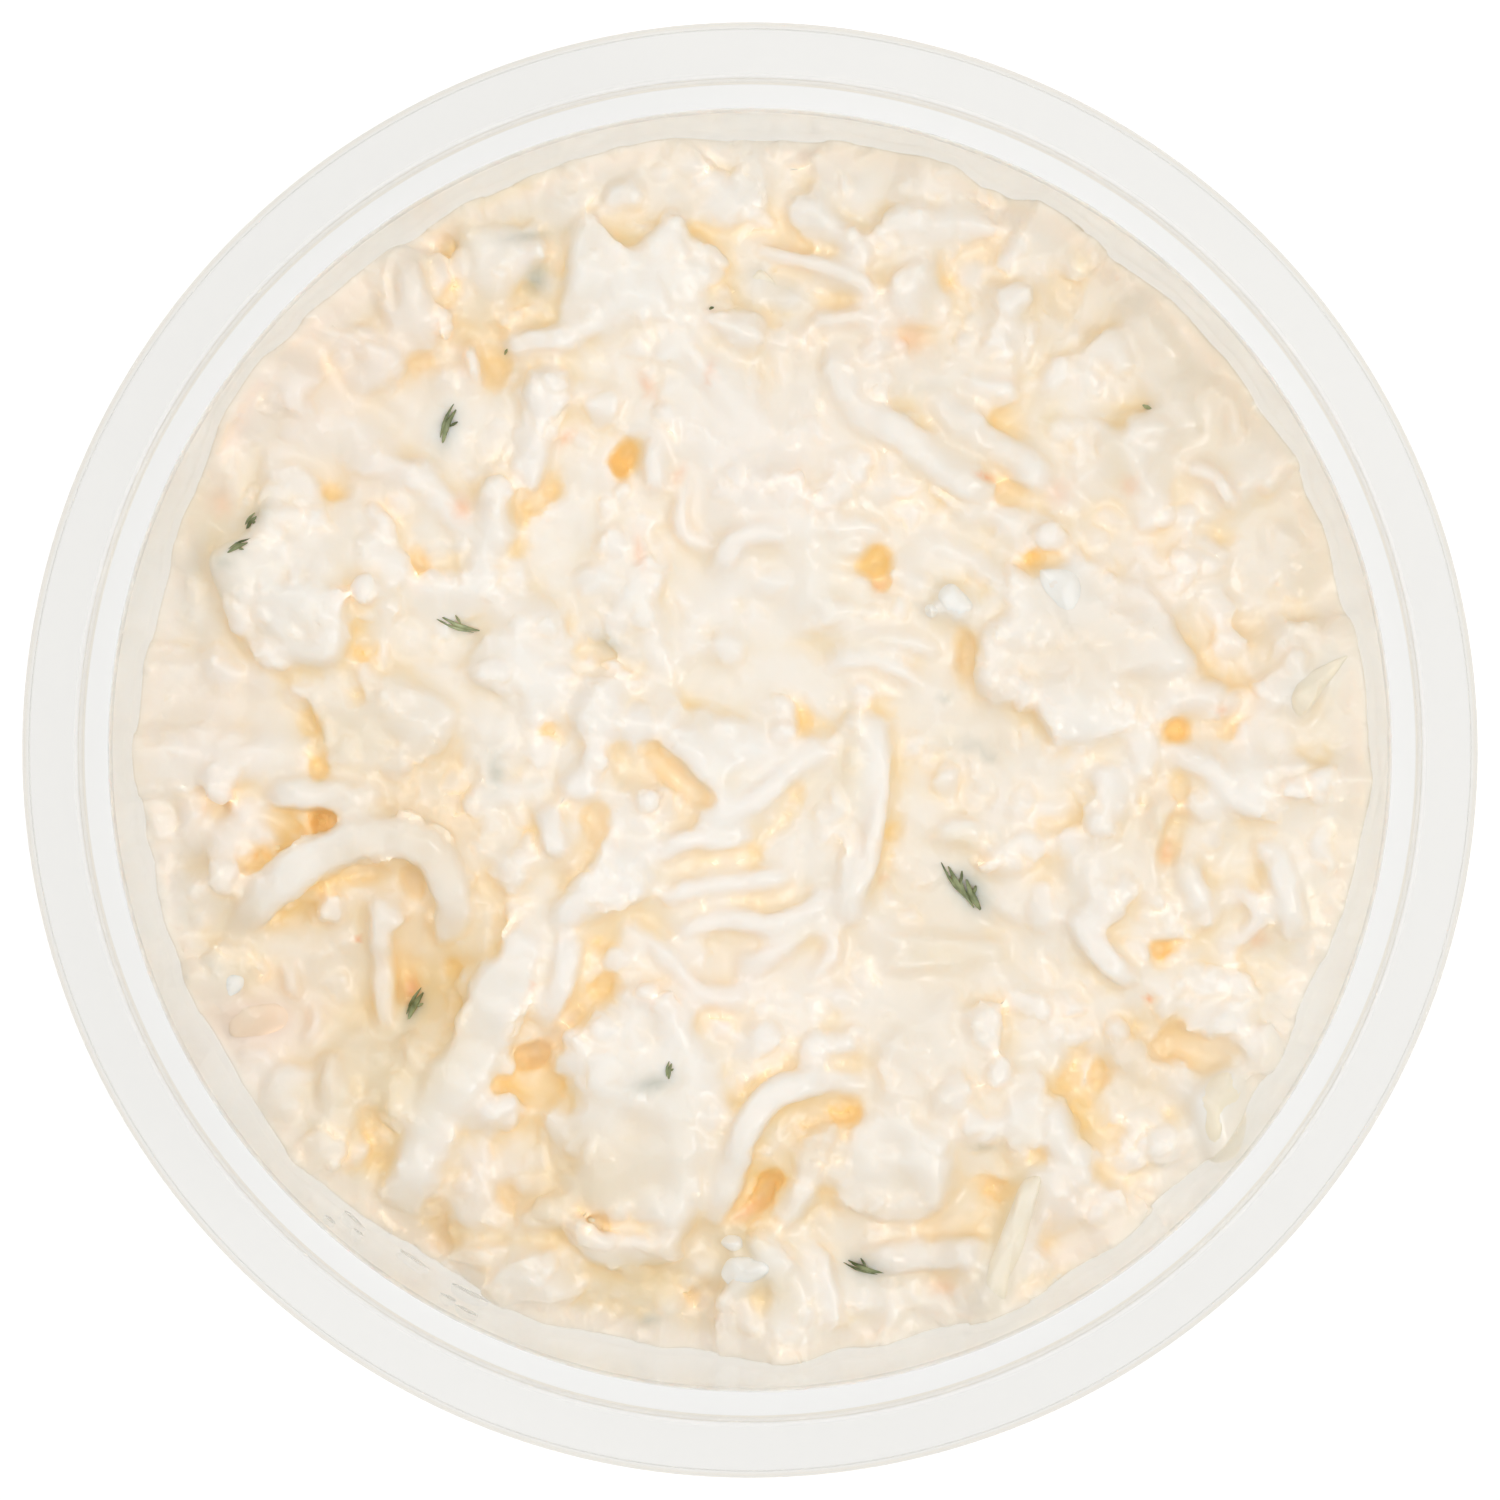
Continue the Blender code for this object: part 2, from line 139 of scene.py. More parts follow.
# Flat lumps with a steep rim: rise over the bed, then places round the edge.
MOUNDS = (
    (1.3, (-38.2, 13.4), (-35.6, 15.4), (-34.6, 18.2), (-31.9, 20.0), (-30.2, 18.6), (-29.4, 17.6),
     (-27.0, 17.3), (-25.0, 16.4), (-24.7, 14.6), (-24.0, 12.2), (-25.6, 10.4), (-27.4, 9.6),
     (-28.4, 8.0), (-28.0, 6.8), (-29.4, 5.6), (-31.0, 6.0), (-33.0, 5.6), (-34.6, 6.2), (-36.5, 9.0)),
    (2.0, (-35.6, 10.7), (-33.9, 12.1), (-31.1, 12.2), (-29.0, 11.8), (-28.2, 9.2), (-28.0, 7.2),
     (-29.1, 5.9), (-30.6, 5.7), (-32.4, 6.1), (-33.6, 7.6)),
    (1.0, (-32.7, 4.4), (-30.8, 3.2), (-30.0, 2.0), (-29.8, 0.0), (-29.4, -1.8), (-26.0, -1.6),
     (-22.0, -0.6), (-20.6, 2.6), (-23.0, 4.6), (-26.0, 6.6), (-29.6, 5.4)),
    (1.2, (-20.1, 5.2), (-16.7, 3.6), (-15.8, 2.5), (-15.2, 1.6), (-14.2, 2.5), (-12.6, 3.6),
     (-12.4, 7.0), (-13.9, 10.6), (-17.7, 11.1), (-18.7, 8.4)),
    (1.0, (-24.0, 11.9), (-19.6, 12.3), (-17.7, 11.1), (-18.6, 9.4), (-22.2, 9.0), (-24.2, 10.2)),
    (1.5, (-20.7, 34.0), (-20.4, 36.2), (-18.6, 37.2), (-15.6, 36.8), (-14.2, 35.4), (-15.0, 33.8),
     (-16.4, 32.6), (-17.6, 31.2), (-19.4, 31.9)),
    (0.9, (-26.5, 33.4), (-25.2, 35.5), (-22.6, 35.1), (-21.2, 33.6), (-22.4, 31.2), (-22.2, 28.2),
     (-24.4, 28.4), (-26.0, 30.4)),
    (1.1, (-29.6, 29.2), (-26.4, 29.5), (-24.3, 28.4), (-24.1, 27.0), (-25.2, 25.8), (-27.6, 24.9),
     (-28.9, 26.4)),
    (0.9, (-34.2, 26.8), (-32.4, 28.2), (-30.8, 28.0), (-29.9, 26.2), (-31.2, 25.0), (-31.6, 23.2),
     (-33.4, 24.4)),
    (1.4, (-16.4, 25.2), (-15.4, 26.8), (-13.0, 26.8), (-12.2, 25.0), (-13.4, 23.2), (-14.1, 21.2),
     (-14.5, 19.4), (-15.4, 18.0), (-17.0, 19.4), (-17.1, 21.4), (-16.2, 23.6)),
    (1.0, (-18.6, 20.0), (-17.2, 19.4), (-16.8, 16.6), (-16.5, 15.2), (-17.4, 13.6), (-19.0, 13.2),
     (-19.8, 15.4)),
    (1.5, (-13.6, 29.7), (-12.0, 28.9), (-9.4, 29.4), (-6.0, 29.4), (-4.2, 30.4), (-3.4, 31.8),
     (-2.0, 33.4), (-1.7, 34.4), (-2.6, 35.5), (-3.9, 36.3), (-4.6, 37.6), (-5.5, 37.9),
     (-6.8, 36.9), (-8.1, 35.8), (-9.2, 35.6), (-10.2, 36.6), (-11.4, 38.0), (-12.6, 36.6),
     (-13.0, 33.6)),
    (1.3, (-3.6, 30.5), (-2.8, 31.0), (0.2, 31.0), (1.3, 29.6), (0.8, 28.3), (-0.8, 28.1), (-2.4, 29.2)),
    (1.0, (2.6, 38.0), (3.8, 39.4), (5.6, 38.8), (7.2, 37.4), (8.8, 35.6), (8.4, 34.0), (6.2, 35.2),
     (3.4, 36.6)),
    (1.3, (9.4, 32.4), (11.0, 34.4), (12.2, 35.1), (13.1, 34.4), (13.5, 33.0), (14.4, 31.4),
     (13.0, 29.8), (10.6, 30.2)),
    (1.5, (8.6, 36.4), (10.2, 38.6), (12.2, 38.8), (13.0, 38.2), (13.8, 38.7), (16.0, 38.4),
     (17.6, 37.0), (16.8, 36.2), (13.4, 35.5), (10.8, 36.3)),
    (1.1, (17.4, 32.3), (18.8, 33.0), (20.0, 32.6), (19.6, 31.0), (18.4, 30.3), (17.2, 31.0)),
    (1.3, (26.5, 23.2), (28.0, 23.9), (29.5, 23.0), (29.8, 22.2), (28.4, 21.6), (26.6, 21.8)),
    (0.9, (24.2, 23.4), (26.4, 22.4), (29.6, 21.8), (29.8, 19.0), (29.6, 16.4), (27.6, 15.4),
     (26.4, 17.4), (24.6, 20.0)),
    (0.9, (15.2, 26.2), (17.0, 26.4), (18.8, 25.9), (18.6, 24.6), (17.0, 23.8), (15.8, 24.8)),
    (1.4, (16.6, 16.4), (17.6, 17.3), (19.6, 17.1), (22.3, 15.9), (22.0, 14.3), (20.6, 14.0),
     (18.4, 14.6)),
    (1.0, (16.4, 8.6), (15.9, 5.4), (16.9, 3.1), (19.4, 3.4), (21.8, 0.2), (25.0, 0.8), (27.4, 2.4),
     (31.0, 5.0), (31.6, 6.4), (30.4, 8.0), (29.6, 9.6), (27.6, 11.8), (24.2, 12.4), (20.2, 11.0)),
    (1.2, (27.0, 4.9), (30.0, 4.9), (33.0, 4.9), (33.8, 4.2), (33.2, 2.5), (31.4, 2.1), (28.0, 2.4)),
    (1.3, (23.8, -1.5), (25.6, -0.9), (26.8, -1.9), (26.8, -4.2), (25.8, -6.8), (24.6, -7.1),
     (23.7, -5.8), (24.2, -3.4)),
    (1.0, (28.4, -3.6), (29.7, -3.3), (29.8, -4.2), (28.8, -5.9), (28.1, -5.2)),
    (1.2, (16.6, -7.8), (17.4, -6.2), (19.4, -5.6), (21.3, -6.2), (21.0, -7.4), (18.9, -8.8),
     (17.2, -8.7)),
    (1.1, (6.3, 2.0), (9.0, 2.6), (10.0, 1.4), (9.8, -1.6), (9.0, -5.2), (8.9, -8.0), (7.8, -11.8),
     (6.2, -12.3), (6.1, -9.0), (6.6, -5.6), (6.0, -1.6)),
    (1.2, (-6.4, 1.0), (-3.0, 2.4), (0.2, 2.0), (1.6, 1.4), (2.8, 0.8), (2.3, -1.4), (0.6, -3.6),
     (-2.6, -4.6), (-2.4, -3.4), (-4.6, -1.2)),
    (1.1, (-12.0, 0.8), (-9.4, 0.4), (-8.6, 0.6), (-8.0, 0.1), (-7.4, 0.6), (-6.4, 0.8), (-4.6, 3.0),
     (-7.0, 5.0), (-11.0, 5.2), (-12.8, 3.0)),
    (2.1, (2.5, 0.2), (3.6, 1.0), (4.8, 1.0), (5.9, 0.0), (5.2, -1.1), (3.2, -2.0), (2.3, -1.4)),
    (1.0, (-10.4, -6.4), (-8.4, -6.7), (-7.6, -8.2), (-7.0, -9.4), (-7.4, -10.7), (-8.8, -11.1),
     (-10.8, -12.0), (-13.4, -12.8), (-14.2, -11.6), (-12.6, -9.6), (-11.4, -8.0)),
    (1.2, (-12.6, -19.6), (-9.8, -17.6), (-7.2, -16.5), (-3.8, -17.9), (-3.9, -19.4), (-2.4, -21.0),
     (-1.2, -24.0), (-1.8, -27.6), (-3.0, -31.4), (-5.0, -34.6), (-8.4, -33.6), (-11.4, -32.4),
     (-12.6, -30.4), (-12.0, -27.6), (-12.9, -22.6)),
    (1.9, (-12.8, -33.0), (-12.2, -32.8), (-11.4, -34.2), (-8.6, -33.5), (-5.0, -34.9), (-5.2, -36.0),
     (-8.8, -36.7), (-11.4, -36.2), (-12.8, -34.4)),
    (1.0, (-14.6, -25.6), (-13.0, -25.6), (-12.0, -26.8), (-12.4, -28.7), (-14.0, -27.8)),
    (1.1, (3.0, -27.9), (4.6, -26.8), (6.1, -26.6), (5.9, -29.8), (4.6, -32.2), (2.4, -33.8),
     (2.0, -31.6), (2.8, -29.8)),
    (1.1, (6.6, -28.2), (8.4, -25.6), (12.0, -26.0), (14.6, -28.6), (14.2, -30.2), (12.8, -33.0),
     (9.6, -33.2), (6.2, -31.6)),
    (1.2, (-4.9, -36.6), (-3.8, -35.7), (-2.4, -36.2), (-3.2, -38.2), (-4.6, -37.4)),
    (1.6, (20.6, -27.4), (20.7, -25.4), (21.8, -24.5), (22.8, -25.6), (24.0, -28.8), (24.0, -30.6),
     (22.8, -30.7), (21.2, -29.0)),
    (1.3, (18.0, -24.6), (18.8, -22.9), (20.4, -22.4), (21.0, -23.8), (20.4, -25.8), (19.9, -28.0),
     (18.8, -28.8), (18.0, -27.6)),
    (0.9, (21.4, -29.7), (21.2, -32.0), (20.6, -34.0), (21.4, -36.6), (18.9, -37.6), (19.6, -35.6),
     (20.2, -33.0)),
    (1.1, (-18.4, -14.6), (-20.2, -15.4), (-20.9, -16.9), (-19.8, -17.9), (-18.6, -16.6)),
    (1.1, (-30.2, -22.0), (-29.3, -21.4), (-28.0, -23.8), (-27.9, -26.0), (-28.8, -28.6),
     (-29.6, -30.0), (-30.8, -28.6), (-30.6, -25.0)),
    (0.9, (-24.6, -20.4), (-23.4, -20.2), (-22.5, -22.6), (-23.4, -23.5), (-24.4, -22.4)),
    (1.2, (-21.0, -26.6), (-19.0, -24.4), (-16.8, -24.5), (-15.6, -25.4), (-16.8, -26.8),
     (-18.8, -27.5)),
    (1.3, (-21.8, -30.2), (-20.6, -27.6), (-18.6, -27.6), (-17.7, -30.0), (-18.0, -33.6),
     (-20.2, -33.8), (-21.4, -32.2)),
    (1.0, (-17.7, -28.4), (-16.4, -27.4), (-15.4, -28.4), (-15.8, -30.2), (-17.2, -30.2)),
    (1.1, (-16.4, -33.2), (-14.8, -31.7), (-12.8, -31.2), (-12.4, -33.5), (-14.6, -34.0)),
    (1.1, (-21.7, -36.0), (-19.6, -35.0), (-13.2, -35.1), (-12.6, -37.4), (-17.0, -37.3),
     (-20.4, -36.4)),
)

# Strands of grated cheese: width, depth, lift, then the places each one runs through.
STRANDS = (
    (4.2, 2.6, 1.3, (-15.2, -12.6), (-17.4, -17.0), (-19.6, -21.6), (-22.2, -25.8), (-24.6, -32.6)),
    (2.0, 1.8, 0.9, (-12.7, -12.6), (-13.2, -16.0), (-14.8, -19.6)),
    (3.2, 2.2, 1.4, (-36.4, -13.2), (-34.9, -11.0), (-32.6, -8.9), (-30.0, -7.3), (-27.2, -6.2),
     (-23.6, -6.4), (-21.6, -8.4), (-20.9, -11.0), (-21.4, -13.8)),
    (2.3, 1.8, 1.1, (-34.4, -3.1), (-30.0, -3.1), (-25.8, -3.5)),
    (1.8, 1.8, 0.9, (-26.2, -10.4), (-26.0, -15.0), (-25.8, -19.7)),
    (2.2, 2.0, 1.4, (8.0, -23.5), (4.4, -23.4), (1.2, -24.6), (-0.7, -27.6), (-1.6, -30.6), (-3.0, -33.6)),
    (1.2, 1.1, 0.9, (0.6, 35.4), (4.0, 34.4), (6.8, 33.5), (8.4, 32.3), (8.1, 31.2)),
    (0.95, 0.9, 0.8, (4.2, 30.2), (6.5, 30.4), (9.5, 30.8)),
    (2.6, 1.8, 0.9, (6.6, 24.2), (10.4, 22.4), (14.0, 19.8), (17.0, 17.8)),
    (2.6, 1.8, 0.9, (13.0, 25.0), (16.0, 22.2), (19.0, 20.2), (21.4, 18.8)),
    (1.3, 1.2, 1.3, (9.4, 2.2), (9.2, -3.0), (8.6, -7.0), (7.0, -11.8)),
    (1.8, 1.7, 1.2, (24.4, 5.7), (28.0, 6.4), (31.4, 6.3)),
    (1.1, 1.1, 0.7, (30.6, 19.8), (32.6, 19.4), (34.2, 17.0)),
    (1.0, 1.0, 0.6, (34.1, 25.0), (34.2, 22.0)),
    (1.1, 1.0, 0.6, (5.6, 6.8), (9.4, 7.9), (13.4, 6.9)),
    (1.1, 1.0, 0.6, (5.4, 5.6), (8.6, 6.4), (12.4, 4.6)),
    (0.7, 0.8, 0.5, (9.9, -13.4), (14.0, -13.5), (18.3, -13.9)),
    (0.7, 0.8, 0.5, (10.2, -14.2), (18.0, -14.4)),
    (0.7, 0.8, 0.5, (10.0, -15.1), (15.6, -15.0)),
    (1.1, 1.0, 0.8, (-1.2, -16.8), (1.0, -15.0), (4.2, -12.7), (5.7, -12.9), (5.8, -14.6), (4.2, -16.0)),
    (1.1, 1.0, 0.8, (5.2, 15.5), (7.5, 15.8), (9.7, 15.2)),
    (0.9, 0.9, 0.6, (5.6, 14.4), (7.6, 14.0), (9.0, 14.2)),
    (1.7, 1.5, 1.2, (4.2, -0.6), (2.0, -2.2), (-0.6, -4.2), (-3.6, -4.8)),
    (1.8, 1.6, 0.9, (30.3, -7.8), (31.4, -9.6), (32.0, -11.8)),
    (1.1, 1.0, 0.7, (33.2, -9.9), (35.2, -10.3), (35.9, -11.8), (34.8, -13.3), (33.0, -13.8)),
    (1.8, 1.6, 0.9, (-17.3, 28.5), (-14.6, 28.9), (-11.8, 28.8)),
    (1.8, 1.7, 1.6, (-24.0, 34.9), (-23.8, 32.0), (-23.0, 28.5)),
    (1.0, 1.0, 0.7, (-19.8, 28.7), (-19.2, 26.0)),
    (1.9, 1.8, 1.0, (-14.6, -3.6), (-13.9, -5.6), (-13.4, -7.8)),
    (1.0, 1.0, 0.7, (-4.2, 20.0), (-4.9, 17.2), (-4.6, 15.2), (-2.8, 14.4)),
    (1.4, 1.2, 0.6, (-6.9, 21.8), (-6.6, 18.0)),
    (1.6, 1.5, 1.0, (-9.2, -12.4), (-6.4, -14.0), (-4.8, -15.9), (-3.4, -17.2), (-1.4, -17.5),
     (-0.2, -16.4)),
    (1.3, 1.2, 0.9, (-1.2, -15.5), (1.2, -14.5), (3.4, -13.2), (4.8, -12.2)),
    (1.6, 1.4, 0.8, (-5.2, -12.8), (-1.8, -11.9), (1.6, -12.3), (4.4, -11.2), (5.4, -9.6)),
    (1.5, 1.3, 0.8, (-6.4, -10.4), (-3.2, -9.6), (0.4, -9.2), (3.0, -8.6)),
    (1.5, 1.3, 0.8, (-6.8, -7.6), (-4.4, -6.3), (-1.8, -6.4), (0.2, -5.4)),
    (2.4, 1.8, 0.8, (7.8, -36.1), (12.4, -35.6), (16.9, -35.4)),
    (1.0, 1.0, 0.6, (-32.8, -14.8), (-32.2, -17.8)),
    (0.8, 0.8, 0.4, (-31.2, -17.8), (-30.6, -19.2), (-31.6, -20.8)),
    (1.6, 1.4, 0.7, (13.2, -6.6), (14.8, -5.5), (16.6, -6.4)),
    (1.4, 1.3, 0.7, (-10.0, 37.9), (-9.0, 39.4), (-7.6, 38.6)),
    (1.8, 1.5, 0.7, (-38.4, 21.0), (-36.4, 24.6), (-33.6, 28.0)),
    (2.0, 1.6, 0.8, (36.2, -6.2), (37.8, -9.6), (38.4, -13.6)),
    (1.8, 1.5, 0.8, (22.8, -11.2), (24.4, -14.0), (27.0, -16.4)),
    (1.6, 1.4, 0.8, (-2.4, 12.4), (-0.4, 15.2), (2.6, 15.0)),
)

# Lumps: x, y, half length, half width, turn in degrees, lift.
LUMPS = (
    (-1.5, 38.9, 2.6, 1.8, 8, 0.8), (-29.0, 10.7, 0.8, 0.8, 0, 2.4), (-26.9, 11.4, 0.9, 1.0, 0, 1.8),
    (-25.4, 13.0, 1.5, 1.3, 0, 1.4), (-27.2, 5.2, 0.7, 1.1, 0, 1.4), (-25.6, 3.8, 0.9, 1.5, 0, 1.4),
    (-23.9, 3.8, 0.7, 0.7, 0, 1.2), (-23.9, 2.6, 0.5, 0.5, 0, 1.2), (-25.3, -11.9, 1.0, 1.0, 0, 1.1),
    (-29.5, -11.2, 1.0, 1.2, 0, 0.9), (-37.5, -1.8, 1.4, 1.5, 0, 1.1), (-39.3, -4.4, 1.1, 1.1, 0, 0.8),
    (-35.6, -4.6, 1.4, 1.3, 0, 0.6), (-37.0, -6.7, 1.3, 1.8, 0, 0.6), (-34.6, -6.0, 1.2, 0.8, 0, 0.5),
    (-37.2, -8.6, 1.2, 1.1, 0, 0.5), (-23.5, -29.3, 1.5, 1.4, 30, 2.2), (-15.9, -20.6, 0.8, 0.5, 20, 1.2),
    (-17.2, -22.4, 1.0, 0.8, 40, 1.4), (-16.8, -8.6, 1.6, 1.3, 20, 0.6), (2.2, 0.9, 0.9, 0.8, 0, 1.8),
    (1.8, 2.8, 1.3, 1.1, 0, 1.0), (-11.0, -0.5, 1.0, 1.0, 0, 1.0), (-11.8, -2.4, 1.5, 1.2, 20, 1.1),
    (-7.2, -3.6, 1.0, 0.9, 0, 0.7), (-8.3, -8.9, 1.6, 1.9, 0, 0.9), (-9.2, -14.8, 1.1, 1.0, 0, 0.7),
    (17.2, 5.6, 1.0, 1.4, 0, 1.5), (17.1, 3.8, 0.5, 0.6, 0, 1.3), (33.8, 7.6, 1.3, 1.0, 0, 0.8),
    (38.3, 6.3, 0.9, 1.0, 0, 0.7), (38.2, -2.9, 1.0, 0.7, 0, 0.8), (32.2, -12.0, 0.6, 0.6, 0, 1.0),
    (35.4, -3.6, 1.1, 1.3, 20, 0.7), (37.4, 0.4, 1.6, 1.0, 60, 0.6), (16.6, 18.4, 0.9, 0.6, 20, 0.8),
    (25.2, 28.4, 1.6, 1.2, 20, 0.8), (26.2, 27.4, 1.0, 0.8, 0, 0.8), (21.6, 26.4, 1.6, 0.9, 60, 0.7),
    (23.4, 35.0, 1.2, 1.6, 0, 0.7), (17.5, -32.0, 0.7, 0.7, 0, 0.6), (3.8, 28.8, 0.5, 0.9, 0, 0.6),
    (-14.2, 32.9, 1.0, 1.2, 0, 0.6), (-21.7, 30.3, 0.9, 1.0, 0, 0.6), (-20.4, 31.2, 0.9, 1.3, 20, 0.8),
    (-24.9, -24.6, 1.6, 2.0, 20, 0.3), (-27.6, -28.0, 0.9, 1.4, 20, 0.5), (-33.0, -23.6, 1.6, 1.2, 30, 0.4),
    (25.2, -10.9, 1.8, 1.4, 70, 0.9), (21.0, -11.4, 1.3, 1.8, 0, 0.7), (29.2, -27.8, 1.8, 1.5, 30, 0.7),
    (27.2, -28.6, 1.3, 1.1, 0, 0.7), (16.6, -19.6, 1.2, 1.8, 10, 0.8), (14.2, -24.4, 1.5, 1.2, 30, 0.8),
    (16.4, -26.6, 1.6, 1.2, 0, 0.7), (6.6, -20.6, 1.6, 1.2, 30, 0.7), (4.6, -21.2, 1.2, 1.4, 0, 0.8),
    (17.6, -22.8, 0.9, 1.3, 150, 1.0), (33.2, -16.4, 1.8, 1.3, 40, 0.5), (36.2, -21.0, 1.4, 1.8, 0, 0.4),
    (22.9, -6.2, 1.2, 1.0, 0, 0.5), (-10.6, 12.0, 1.5, 1.2, 0, 0.6), (-9.6, 14.8, 0.9, 1.2, 0, 0.6),
    (-1.6, 7.2, 1.3, 1.2, 0, 0.7), (-3.6, 2.4, 1.2, 0.7, 20, 0.9), (1.4, 11.8, 1.2, 0.9, 20, 0.7),
)

